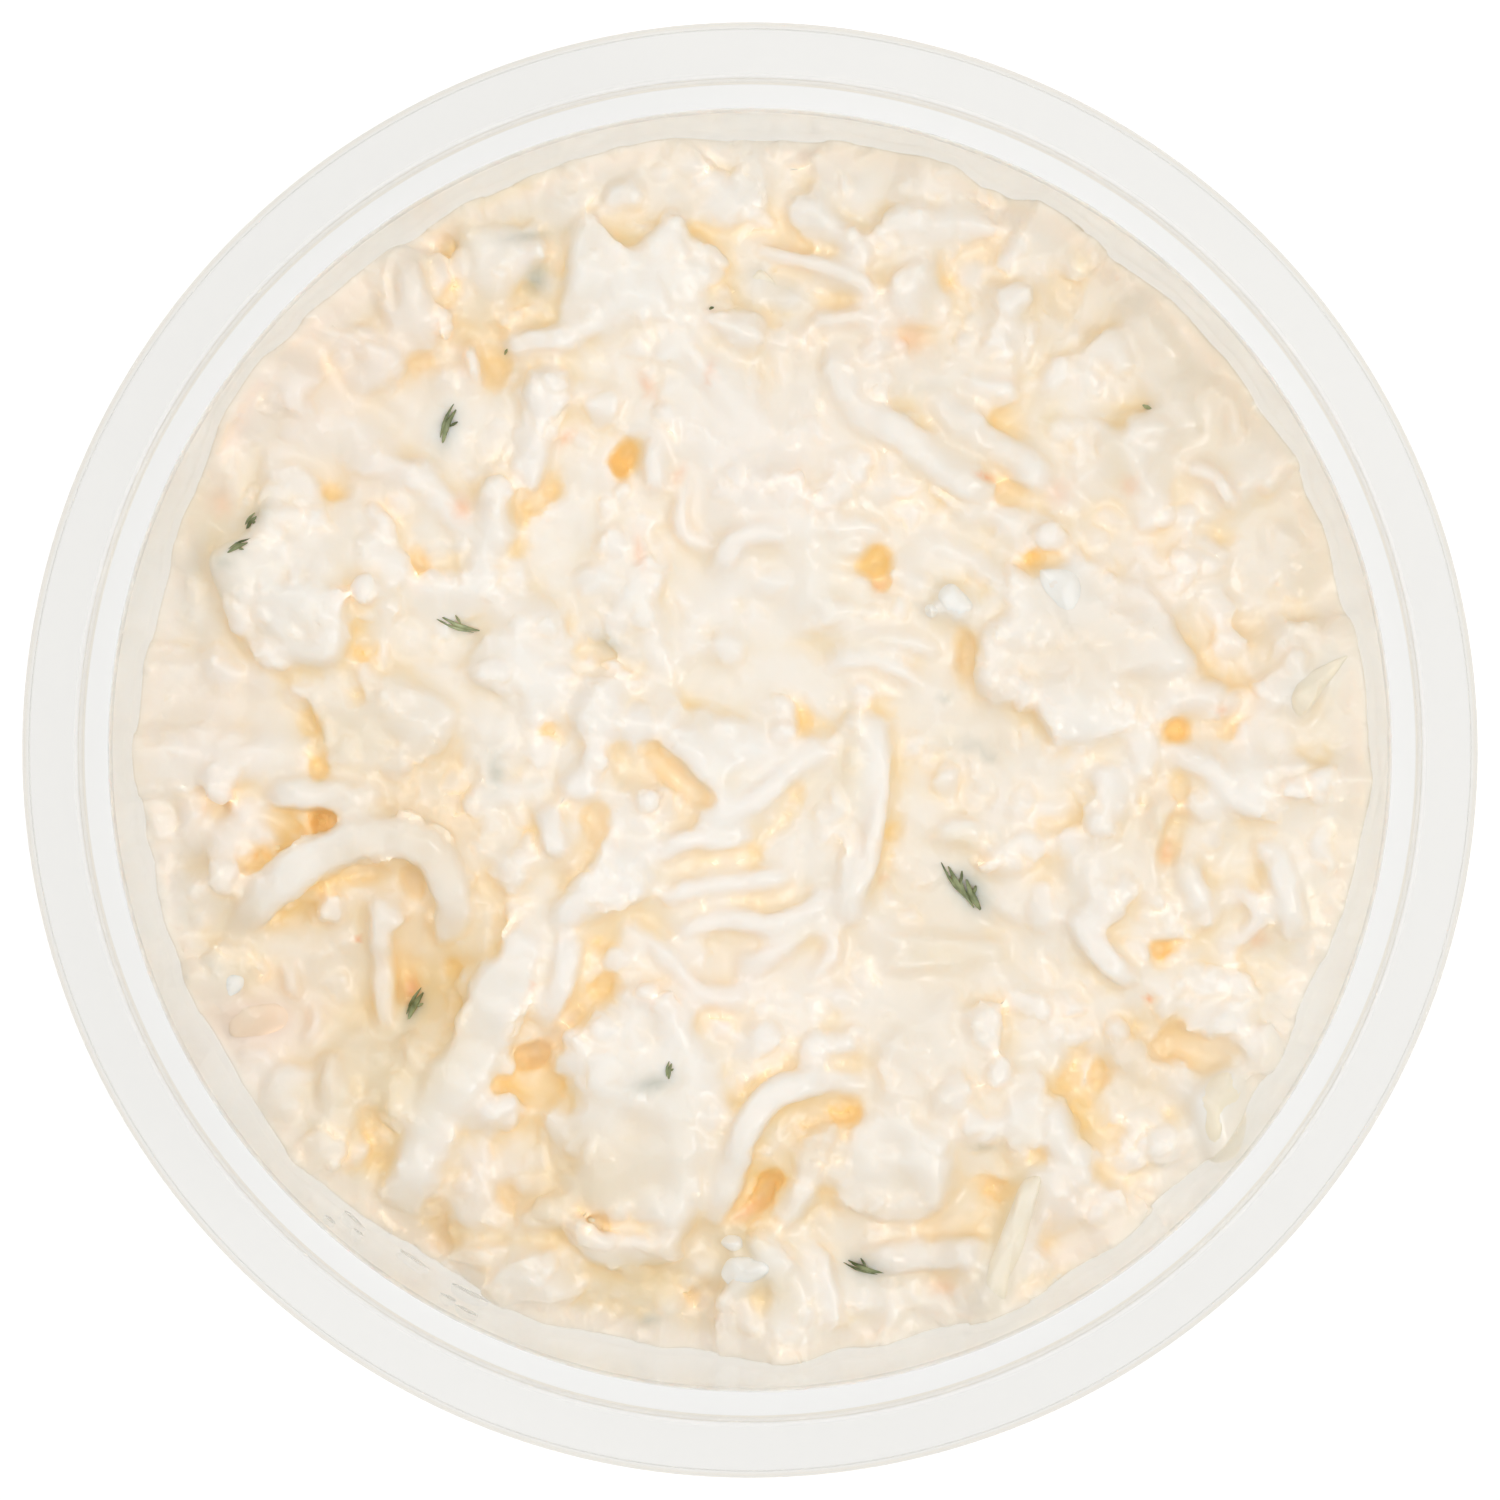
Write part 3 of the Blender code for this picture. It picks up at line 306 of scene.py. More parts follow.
# Pockets in the top: depth, then places round the edge.
POCKETS = (
    (2.2, (-10.1, 20.6), (-9.8, 21.2), (-8.8, 22.1), (-7.4, 22.1), (-7.3, 21.2), (-7.8, 20.2),
     (-8.1, 19.2), (-9.5, 19.1), (-10.0, 19.8)),
    (2.0, (-10.9, 27.8), (-10.5, 28.3), (-10.1, 28.0), (-10.3, 27.3), (-10.7, 27.3)),
    (1.6, (-16.7, 16.6), (-16.2, 17.8), (-15.2, 18.0), (-14.2, 19.8), (-13.3, 19.2), (-13.2, 18.0),
     (-14.6, 16.8), (-15.9, 15.4), (-16.5, 15.6)),
    (1.8, (-17.3, 13.7), (-16.1, 15.0), (-15.5, 13.9), (-16.6, 13.4)),
    (1.9, (-21.9, 36.2), (-20.8, 36.2), (-20.5, 35.4), (-21.4, 35.0), (-22.4, 35.6)),
    (1.4, (-22.8, 32.4), (-21.6, 33.0), (-20.7, 33.2), (-20.3, 32.3), (-21.2, 31.9)),
    (2.6, (-18.7, 30.0), (-17.4, 30.0), (-16.9, 29.6), (-17.6, 29.1), (-18.5, 29.3)),
    (1.2, (-18.9, 28.9), (-17.6, 28.2), (-16.8, 27.4), (-16.9, 26.0), (-17.9, 25.4), (-18.8, 26.0)),
    (1.1, (-24.0, 28.0), (-22.4, 27.9), (-19.8, 27.4), (-22.0, 27.0), (-24.0, 26.4), (-26.4, 25.2),
     (-27.2, 24.5), (-26.0, 25.8), (-24.6, 26.8)),
    (1.2, (-29.9, 27.9), (-29.3, 27.9), (-29.2, 26.9), (-29.8, 26.7)),
    (1.6, (-30.3, 18.0), (-29.5, 18.8), (-28.0, 18.1), (-28.5, 17.6), (-29.8, 17.5)),
    (0.7, (-24.2, 14.3), (-22.0, 14.6), (-19.6, 14.4), (-19.6, 12.7), (-21.6, 12.4), (-23.6, 12.1)),
    (1.9, (-28.2, 7.3), (-27.3, 6.9), (-27.9, 5.6), (-27.5, 4.4), (-27.1, 3.4), (-28.0, 3.2),
     (-28.4, 4.8)),
    (1.6, (-31.6, 3.2), (-30.7, 2.6), (-30.2, 1.2), (-30.0, -0.6), (-29.7, -1.9), (-31.0, -1.8),
     (-31.6, 0.6)),
    (1.9, (-31.2, -4.4), (-29.2, -4.4), (-29.3, -5.5), (-31.0, -5.9)),
    (1.8, (-24.7, -1.6), (-23.6, -1.3), (-23.4, -3.4), (-24.4, -3.9)),
    (1.6, (-38.0, -4.0), (-37.2, -3.6), (-36.4, -2.6), (-34.7, -2.0), (-35.0, -2.6), (-36.6, -3.9)),
    (2.0, (-24.9, -8.5), (-23.2, -8.2), (-22.9, -9.2), (-23.0, -10.5), (-24.2, -10.3)),
    (1.5, (-30.6, -9.3), (-28.6, -8.2), (-26.4, -7.9), (-25.4, -8.8), (-26.4, -9.4), (-28.4, -9.5)),
    (1.6, (-27.9, -10.6), (-27.2, -10.6), (-27.0, -13.4), (-27.4, -14.2), (-28.0, -12.6)),
    (1.9, (-18.9, -8.1), (-18.1, -8.3), (-17.1, -10.9), (-17.2, -13.0), (-17.6, -14.6), (-18.3, -14.4),
     (-18.2, -12.6), (-18.0, -10.6)),
    (2.8, (-24.2, -16.1), (-23.4, -16.4), (-23.2, -17.2), (-23.8, -18.0), (-24.5, -17.8), (-24.6, -16.9)),
    (1.8, (-19.9, -17.8), (-20.8, -18.0), (-21.4, -19.2), (-22.2, -20.6), (-22.9, -21.6), (-22.1, -21.7),
     (-21.4, -20.2), (-20.7, -19.0)),
    (1.6, (-22.6, -15.3), (-21.6, -14.9), (-20.4, -14.9), (-20.2, -15.6), (-20.9, -16.4), (-21.9, -15.9)),
    (1.5, (-27.9, -22.8), (-27.2, -23.2), (-27.0, -24.8), (-26.5, -26.4), (-26.1, -28.0), (-25.8, -29.3),
     (-26.6, -29.6), (-27.2, -28.0), (-27.6, -26.2), (-28.0, -24.6)),
    (2.0, (-16.4, -21.4), (-15.6, -20.5), (-14.4, -20.5), (-13.8, -21.2), (-13.8, -22.0), (-14.8, -22.3),
     (-16.3, -22.2)),
    (2.4, (-15.6, -25.8), (-14.7, -25.7), (-14.6, -26.1), (-15.2, -26.5), (-16.3, -26.6)),
    (1.6, (-17.9, -31.0), (-17.2, -30.7), (-16.4, -31.3), (-16.6, -32.6), (-17.4, -33.6), (-17.9, -33.0)),
    (1.9, (-20.6, -34.6), (-18.0, -34.1), (-15.0, -34.2), (-13.3, -33.9), (-12.9, -34.9), (-14.6, -35.0),
     (-17.6, -34.9), (-19.6, -34.8)),
    (1.3, (-23.2, -32.6), (-22.6, -31.5), (-21.7, -32.8), (-21.0, -34.4), (-21.4, -35.5), (-22.4, -35.4)),
    (2.0, (-10.9, -12.9), (-10.2, -12.9), (-10.0, -13.4), (-10.8, -14.6), (-11.7, -15.7), (-12.0, -15.0),
     (-11.6, -14.0)),
    (1.7, (-8.2, -15.6), (-9.2, -16.6), (-10.2, -17.6), (-11.6, -18.6), (-12.6, -19.8), (-13.6, -20.2),
     (-13.2, -19.2), (-12.4, -18.2), (-11.6, -17.0), (-10.8, -16.2)),
    (0.9, (-9.6, 0.2), (-8.6, 0.4), (-8.0, 0.0), (-7.4, 0.4), (-6.5, 0.4), (-5.2, -0.9), (-4.0, -2.0),
     (-2.6, -3.4), (-4.0, -3.8), (-5.4, -3.0), (-7.0, -2.6), (-8.6, -3.2), (-9.8, -2.6)),
    (1.5, (-9.4, -3.6), (-9.8, -5.2), (-10.4, -7.2), (-11.2, -8.6), (-12.6, -9.9), (-13.3, -9.5),
     (-12.8, -8.6), (-12.1, -7.6), (-11.8, -6.2), (-12.2, -4.8), (-11.6, -4.0)),
    (1.6, (-16.2, 1.9), (-15.6, 2.3), (-15.2, 1.2), (-14.5, 2.3), (-13.6, 1.4), (-13.2, 0.6), (-14.2, 0.6),
     (-15.6, 1.1)),
    (1.9, (3.0, -2.4), (4.1, -1.9), (4.0, -3.2), (3.4, -4.4), (2.6, -5.4), (1.7, -5.9), (1.2, -6.8),
     (0.6, -7.8), (-0.2, -7.6), (0.3, -6.4), (0.8, -5.6), (1.6, -4.9), (2.4, -3.6)),
    (1.3, (3.0, 3.8), (3.6, 4.0), (4.4, 2.8), (5.8, 2.0), (5.9, 1.3), (4.4, 1.2), (3.4, 1.3), (3.0, 2.0)),
    (1.6, (-5.0, 3.1), (-4.2, 3.6), (-2.8, 3.6), (-2.6, 3.2), (-3.4, 3.0), (-4.2, 2.8)),
    (1.2, (-1.6, 0.9), (-0.8, 1.4), (0.0, 1.2), (-0.4, 0.8), (-1.2, 0.7)),
    (1.4, (-1.0, 10.8), (-0.3, 10.8), (-0.2, 9.9), (-0.9, 9.8)),
    (1.2, (-3.3, 8.4), (-2.6, 8.5), (-2.2, 8.1), (-3.0, 7.9)),
    (1.7, (9.0, -7.2), (9.4, -5.8), (10.2, -4.6), (10.9, -4.6), (10.6, -5.8), (9.8, -7.0)),
    (1.6, (12.2, -1.6), (13.0, -1.4), (13.8, 0.0), (13.2, 0.0), (12.4, -0.8)),
    (2.4, (8.4, 14.6), (9.6, 14.6), (10.2, 14.0), (10.1, 13.0), (10.0, 12.2), (10.8, 11.6), (10.4, 11.2),
     (8.6, 11.2), (8.2, 12.0), (7.2, 12.5), (6.6, 12.9), (7.6, 13.6)),
    (1.2, (8.5, 12.0), (9.2, 12.2), (9.7, 11.8), (9.6, 11.2), (8.8, 11.1)),
    (1.3, (14.6, 8.6), (15.8, 8.4), (16.1, 7.0), (16.0, 5.7), (15.4, 4.8), (14.7, 5.0), (14.5, 6.4)),
    (1.5, (18.2, 12.2), (19.0, 13.4), (20.2, 14.0), (22.4, 13.3), (20.4, 13.1), (19.2, 12.5)),
    (1.9, (15.8, 19.6), (16.6, 19.6), (17.6, 19.0), (17.4, 18.7), (16.4, 19.0)),
    (1.2, (12.4, 22.0), (13.8, 21.0), (15.2, 19.9), (15.8, 19.5), (14.6, 20.0), (13.2, 21.0)),
    (1.2, (4.0, 32.6), (6.0, 32.5), (7.7, 31.9), (7.4, 31.2), (5.6, 31.0), (4.4, 31.6)),
    (1.8, (-4.3, 37.0), (-2.8, 36.8), (-1.0, 36.8), (2.2, 36.5), (4.4, 35.6), (2.0, 36.2), (-1.0, 36.4),
     (-3.4, 36.2), (-4.2, 36.3)),
    (1.2, (5.6, 39.0), (7.4, 37.8), (8.8, 36.3), (8.4, 36.2), (7.0, 37.4), (5.4, 38.6)),
    (1.6, (12.5, 38.9), (13.5, 38.9), (13.4, 38.3), (12.9, 38.2)),
    (1.4, (10.6, 35.6), (11.8, 35.5), (11.6, 35.0), (10.7, 35.0)),
    (1.9, (16.4, 33.2), (17.2, 33.7), (19.0, 33.6), (19.7, 33.3), (18.4, 32.9), (17.4, 32.7)),
    (1.5, (13.6, 33.4), (14.4, 33.4), (15.4, 32.0), (16.0, 31.4), (15.0, 31.5), (14.0, 32.4)),
    (1.5, (24.2, 24.1), (26.0, 24.6), (27.6, 24.6), (28.2, 24.2), (27.0, 24.0), (25.4, 23.8)),
    (1.4, (24.4, 17.4), (25.2, 16.8), (26.0, 15.8), (26.8, 15.5), (25.6, 15.9), (24.8, 16.6)),
    (1.5, (32.4, 15.8), (33.6, 15.5), (34.4, 15.7), (34.3, 14.6), (33.2, 14.4)),
    (1.4, (37.0, 15.0), (38.4, 14.0), (39.6, 13.3), (38.6, 13.4), (37.4, 14.2)),
    (1.8, (30.8, 7.7), (31.7, 7.6), (32.6, 6.6), (33.5, 5.6), (34.8, 5.2), (35.3, 3.8), (35.2, 2.4),
     (34.4, 1.2), (33.2, 0.5), (32.7, 1.0), (33.6, 1.9), (34.2, 3.2), (34.0, 4.6), (32.8, 5.2),
     (31.9, 5.9), (31.6, 6.8)),
    (1.9, (29.3, 2.0), (29.7, 2.3), (30.8, 2.2), (31.0, 1.4), (30.4, 0.6), (29.6, 0.2), (29.2, 0.9)),
    (2.5, (30.0, -1.4), (30.7, -2.0), (30.8, -4.0), (30.4, -6.0), (30.1, -7.4), (29.4, -8.3), (28.8, -8.0),
     (28.8, -7.0), (29.1, -6.0), (29.6, -4.9), (29.9, -3.2)),
    (1.6, (29.0, -8.2), (29.4, -8.4), (29.9, -10.4), (30.5, -12.0), (30.1, -12.2), (29.5, -10.6)),
    (1.3, (27.0, -3.2), (28.2, -3.1), (28.1, -4.0), (27.0, -4.1)),
    (1.5, (23.4, -0.9), (24.4, -0.2), (25.6, -0.6), (24.6, -0.8), (23.8, -1.3)),
    (2.0, (28.3, -15.4), (28.2, -13.8), (28.8, -13.1), (29.6, -13.2), (30.6, -12.8), (31.6, -12.6),
     (31.0, -13.4), (30.0, -14.2), (29.0, -14.9), (28.7, -15.8)),
    (1.4, (20.9, -14.4), (21.5, -14.4), (21.9, -15.6), (21.6, -17.0), (21.1, -17.2), (21.2, -16.2)),
    (1.6, (36.3, -2.2), (36.5, -1.6), (38.4, -1.6), (38.6, -1.9), (37.6, -2.1), (36.8, -2.5)),
    (1.5, (36.8, -7.4), (36.2, -7.6), (35.5, -9.0), (35.3, -10.1), (35.9, -9.6), (36.5, -8.6)),
    (2.0, (27.8, -16.9), (28.3, -17.1), (28.9, -17.9), (28.3, -18.6), (27.9, -18.2)),
    (1.9, (26.4, -18.5), (27.0, -18.5), (27.5, -19.6), (27.2, -20.5), (26.6, -20.2)),
    (2.4, (23.9, -22.2), (24.5, -21.8), (25.3, -22.2), (25.4, -23.2), (24.9, -24.0), (24.3, -24.4),
     (23.8, -25.2), (23.2, -26.3), (23.0, -25.2), (23.6, -24.2)),
    (1.2, (22.2, -21.4), (23.4, -20.9), (24.0, -21.8), (23.6, -23.4), (22.9, -24.8), (21.9, -24.0),
     (21.5, -23.2), (22.2, -22.6)),
    (2.0, (19.8, -28.0), (20.4, -27.7), (21.0, -28.2), (21.3, -29.4), (20.6, -29.6), (19.8, -28.9)),
    (0.7, (12.4, -33.2), (13.6, -31.8), (14.6, -30.4), (16.2, -29.5), (17.0, -30.3), (19.0, -30.2),
     (18.4, -32.0), (17.6, -33.6), (16.4, -34.6), (14.0, -34.8), (12.4, -35.2)),
    (1.2, (15.6, -30.6), (16.4, -30.0), (18.4, -30.6), (18.0, -32.6), (17.2, -33.8), (16.8, -33.0),
     (16.4, -31.4)),
    (1.6, (24.8, -27.8), (25.2, -26.9), (26.4, -26.4), (27.0, -26.6), (26.0, -27.6)),
    (1.6, (24.1, -28.8), (25.2, -29.2), (25.8, -30.2), (26.0, -31.2), (25.2, -30.8), (24.5, -30.0)),
    (1.5, (26.8, -31.6), (27.4, -31.0), (28.2, -31.2), (28.8, -32.2), (27.6, -32.4)),
    (1.4, (28.4, -26.4), (29.4, -25.2), (30.4, -25.2), (31.0, -26.4), (31.4, -27.6), (29.8, -26.5)),
    (1.3, (20.0, -34.4), (20.8, -34.0), (22.0, -34.4), (22.2, -35.2), (21.0, -35.8), (20.2, -35.4)),
    (2.6, (0.8, -29.9), (1.8, -29.7), (2.5, -30.3), (2.3, -31.1), (1.6, -31.8), (0.8, -32.6), (-0.2, -33.0),
     (-1.0, -33.6), (-2.0, -33.8), (-1.3, -33.1), (-0.5, -32.2), (0.0, -31.2)),
    (1.9, (1.8, -29.0), (2.4, -27.4), (3.6, -26.1), (5.0, -25.4), (6.0, -24.9), (7.4, -24.7), (7.9, -25.4),
     (7.3, -26.8), (6.4, -28.2), (6.0, -28.9), (5.9, -28.0), (6.4, -26.3), (4.4, -26.7), (3.0, -27.6)),
    (1.2, (5.9, -30.0), (5.4, -31.2), (4.4, -32.3), (2.8, -33.9), (2.9, -33.4), (4.2, -31.9), (5.2, -30.6)),
    (2.0, (-4.7, -37.9), (-4.0, -38.0), (-3.0, -38.7), (-3.8, -39.2), (-4.6, -39.2)),
    (1.9, (0.0, -39.8), (0.5, -38.0), (1.2, -37.4), (1.9, -37.2), (1.6, -38.2), (1.0, -39.6), (0.4, -40.2)),
)

# Bits of egg white: rise, then places round the edge.
EGG_WHITE = (
    (1.2, (20.3, 12.5), (20.6, 12.8), (22.6, 12.7), (23.3, 11.8), (23.4, 10.4), (22.8, 8.9), (22.0, 9.3),
     (21.2, 10.4), (20.5, 11.5)),
    (1.1, (13.2, 10.6), (13.4, 11.4), (14.2, 11.8), (15.0, 11.2), (15.8, 10.2), (15.4, 9.4), (14.8, 8.9),
     (14.0, 9.4)),
    (0.8, (12.3, 10.1), (12.8, 10.3), (13.3, 9.8), (12.9, 9.3), (12.4, 9.5)),
    (0.9, (-37.6, -17.1), (-37.3, -16.2), (-36.6, -15.8), (-35.8, -16.1), (-35.9, -16.9), (-36.8, -17.5)),
    (0.9, (-2.0, -36.6), (-1.2, -35.8), (1.4, -35.9), (1.7, -36.9), (-0.9, -38.0), (-2.0, -37.4)),
    (0.9, (-2.1, -34.9), (-1.6, -34.3), (-0.6, -34.4), (-0.4, -35.1), (-1.2, -35.5)),
)

# Bits of cheese that the dressing hardly coats: rise, then places round the edge.
BARE_CHEESE = (
    (0.7, (42.2, 6.8), (40.4, 6.0), (38.6, 4.9), (37.9, 3.4), (38.8, 2.2), (40.4, 4.2), (41.8, 6.0)),
    (1.2, (31.0, -24.4), (33.4, -22.4), (34.8, -23.2), (35.2, -26.6), (34.4, -28.9), (32.6, -29.3),
     (31.8, -27.6)),
    (1.0, (-0.5, 32.8), (0.6, 34.0), (1.4, 33.5), (2.0, 32.8), (3.0, 32.6), (3.8, 31.8), (2.6, 31.1),
     (1.4, 31.5), (0.4, 31.6)),
    (0.8, (20.6, -29.8), (20.3, -31.6), (19.8, -33.4), (19.2, -35.4), (18.2, -37.6), (17.8, -39.4),
     (16.2, -39.4), (16.6, -36.8), (17.4, -34.8), (18.4, -32.2), (19.3, -30.2)),
)

# The bit of carrot, just out of the dressing.
CARROT = (0.35, (-36.9, -20.3), (-37.0, -19.0), (-36.4, -18.0), (-35.2, -17.8), (-33.6, -17.9),
          (-32.7, -18.6), (-32.9, -19.6), (-34.2, -20.2), (-35.6, -20.4))

# Cut dill that shows: x, y, turn in degrees, length, width.
DILL = (
    (-21.2, 22.8, 68, 2.8, 0.60), (-20.4, 8.9, 160, 2.9, 0.50), (14.9, -9.4, 125, 3.6, 0.55),
    (15.8, -10.2, 115, 2.6, 0.75), (8.2, -36.5, 162, 2.7, 0.50), (-5.6, -22.6, 80, 1.2, 0.40),
    (-23.7, -18.2, 62, 2.3, 0.60), (-36.0, 14.2, 25, 1.8, 0.45), (-35.1, 16.0, 50, 1.2, 0.60),
    (28.0, 24.2, 150, 0.7, 0.45), (-17.2, 28.1, 60, 0.5, 0.30), (-2.7, 31.1, 30, 0.4, 0.30),
)

# Colour that shows through the dressing: x, y, half length, half width, turn, strength.
GREEN_UNDER = (
    (-15.0, 33.3, 1.1, 0.8, 70, 0.75), (-15.6, 36.2, 1.9, 0.4, 8, 0.40), (-9.9, 7.5, 1.5, 0.8, 150, 0.45),
    (-17.9, -1.5, 0.6, 1.3, 0, 0.45), (15.6, 0.3, 1.6, 0.5, 170, 0.30), (16.9, -0.3, 0.6, 0.5, 0, 0.50),
    (-6.8, -23.5, 1.4, 0.6, 15, 0.60), (8.2, -36.6, 1.8, 0.8, 162, 0.40), (15.6, -9.8, 1.9, 1.0, 120, 0.60),
    (-21.4, 22.4, 1.9, 0.7, 70, 0.40), (-34.4, 16.8, 1.1, 0.6, 50, 0.30), (-36.9, 13.2, 0.8, 0.6, 0, 0.30),
    (-23.8, -18.4, 1.4, 0.6, 62, 0.40), (13.8, 3.6, 0.5, 0.4, 0, 0.35), (-7.2, -40.5, 0.8, 0.4, 20, 0.40),
    (12.2, 25.6, 1.6, 0.5, 10, 0.15), (16.4, -28.1, 0.9, 0.3, 0, 0.35), (-39.3, 12.9, 0.7, 0.7, 0, 0.15),
    (-40.1, -11.9, 0.6, 0.9, 0, 0.20), (-38.2, -15.0, 1.2, 0.5, 130, 0.15),
)
# The yellow ones are partly cheese under the dressing and partly painted shade over low zones and pockets.
YELLOW_UNDER_AND_SHADE = (
    (7.0, -1.2, 1.0, 2.8, 0, 0.75), (23.3, 34.4, 0.7, 1.3, 10, 0.80), (14.0, -14.4, 4.0, 1.2, 0, 0.60),
    (8.0, 7.6, 3.0, 0.5, 8, 0.45), (15.2, -6.3, 2.2, 0.8, 0, 0.60), (18.0, -34.0, 1.2, 4.6, 165, 0.60),
    (17.6, 39.0, 2.6, 0.5, 150, 0.40), (-17.0, 39.6, 3.2, 0.7, 22, 0.70), (13.4, 1.0, 1.2, 1.0, 0, 0.45),
    (2.7, 30.8, 0.5, 0.25, 0, 0.90), (20.8, -37.4, 2.8, 0.7, 15, 0.60), (-1.6, -2.2, 0.9, 0.9, 0, 0.45),
    (13.4, -3.0, 1.2, 0.8, 0, 0.50), (16.6, 11.2, 0.5, 1.0, 0, 0.50), (21.0, 23.4, 0.8, 1.6, 160, 0.80),
    (25.8, 20.4, 2.2, 1.0, 110, 0.50), (-12.4, 36.8, 1.6, 0.8, 0, 0.30), (4.1, -13.4, 0.9, 1.0, 0, 0.60),
    (-25.4, -23.6, 5.5, 3.2, 45, 0.85), (-14.0, -32.4, 6.5, 2.8, 25, 0.50), (1.6, -38.2, 2.4, 2.0, 0, 0.65),
    (-35.6, -15.6, 2.6, 2.4, 0, 0.60), (0.2, -33.6, 2.0, 3.0, 150, 0.75), (-29.0, 1.0, 3.4, 3.0, 0, 0.45),
    (-38.0, 15.6, 2.0, 4.0, 30, 0.40), (7.6, 12.0, 4.0, 2.6, 140, 0.40), (29.4, -6.8, 1.8, 3.6, 0, 0.45),
    (-22.4, -18.0, 2.4, 2.4, 0, 0.60), (-6.4, -38.4, 2.6, 1.6, 0, 0.60), (-20.6, 36.6, 1.6, 1.6, 0, 0.50),
    (19.0, -29.6, 1.6, 3.6, 165, 0.40), (-18.4, 30.4, 2.0, 1.4, 0, 0.45), (4.0, -3.0, 1.4, 2.6, 150, 0.30),
)
# The orange ones are partly the carrot and small specks under the dressing and partly painted shade in pits
# and creases.
ORANGE_UNDER_AND_SHADE = (
    (-34.9, -19.3, 2.8, 1.8, 0, 0.35), (-20.3, 17.0, 0.7, 0.9, 0, 0.60), (11.4, 29.0, 1.1, 0.9, 0, 0.40),
    (21.8, 18.2, 0.8, 0.9, 0, 0.40), (26.8, 18.6, 0.6, 0.7, 0, 0.45), (-33.4, 21.6, 0.15, 0.1, 0, 1.0),
    (-39.4, 16.4, 0.15, 0.12, 0, 1.0), (-26.4, 19.3, 0.1, 0.1, 0, 1.0), (-27.7, -13.4, 0.22, 0.12, 10, 1.3),
    (-38.3, 8.9, 0.2, 0.2, 0, 0.9), (-15.3, -16.7, 0.15, 0.25, 0, 0.8), (28.2, -17.6, 0.3, 0.3, 0, 1.0),
    (-7.2, 25.6, 0.4, 1.1, 30, 0.55), (-13.0, 22.0, 0.9, 0.4, 40, 0.50), (-7.8, 14.0, 0.4, 1.2, 10, 0.50),
    (-5.0, 19.4, 0.4, 0.8, 150, 0.45), (-2.9, 26.4, 0.3, 1.1, 170, 0.45), (16.6, 19.2, 0.7, 0.25, 160, 0.9),
    (9.4, -9.0, 0.25, 0.15, 0, 0.7), (33.2, 2.8, 0.4, 0.3, 0, 0.5), (-37.4, 17.4, 0.8, 0.9, 0, 0.45),
    (36.0, -13.4, 0.7, 0.6, 0, 0.45), (13.6, -38.0, 0.9, 0.6, 0, 0.40), (29.4, -7.2, 0.4, 0.9, 170, 0.6),
    (9.1, 11.6, 0.5, 0.5, 0, 0.6), (-24.0, -17.0, 0.5, 0.8, 0, 0.7), (-0.2, -32.6, 1.2, 0.4, 35, 0.6),
)
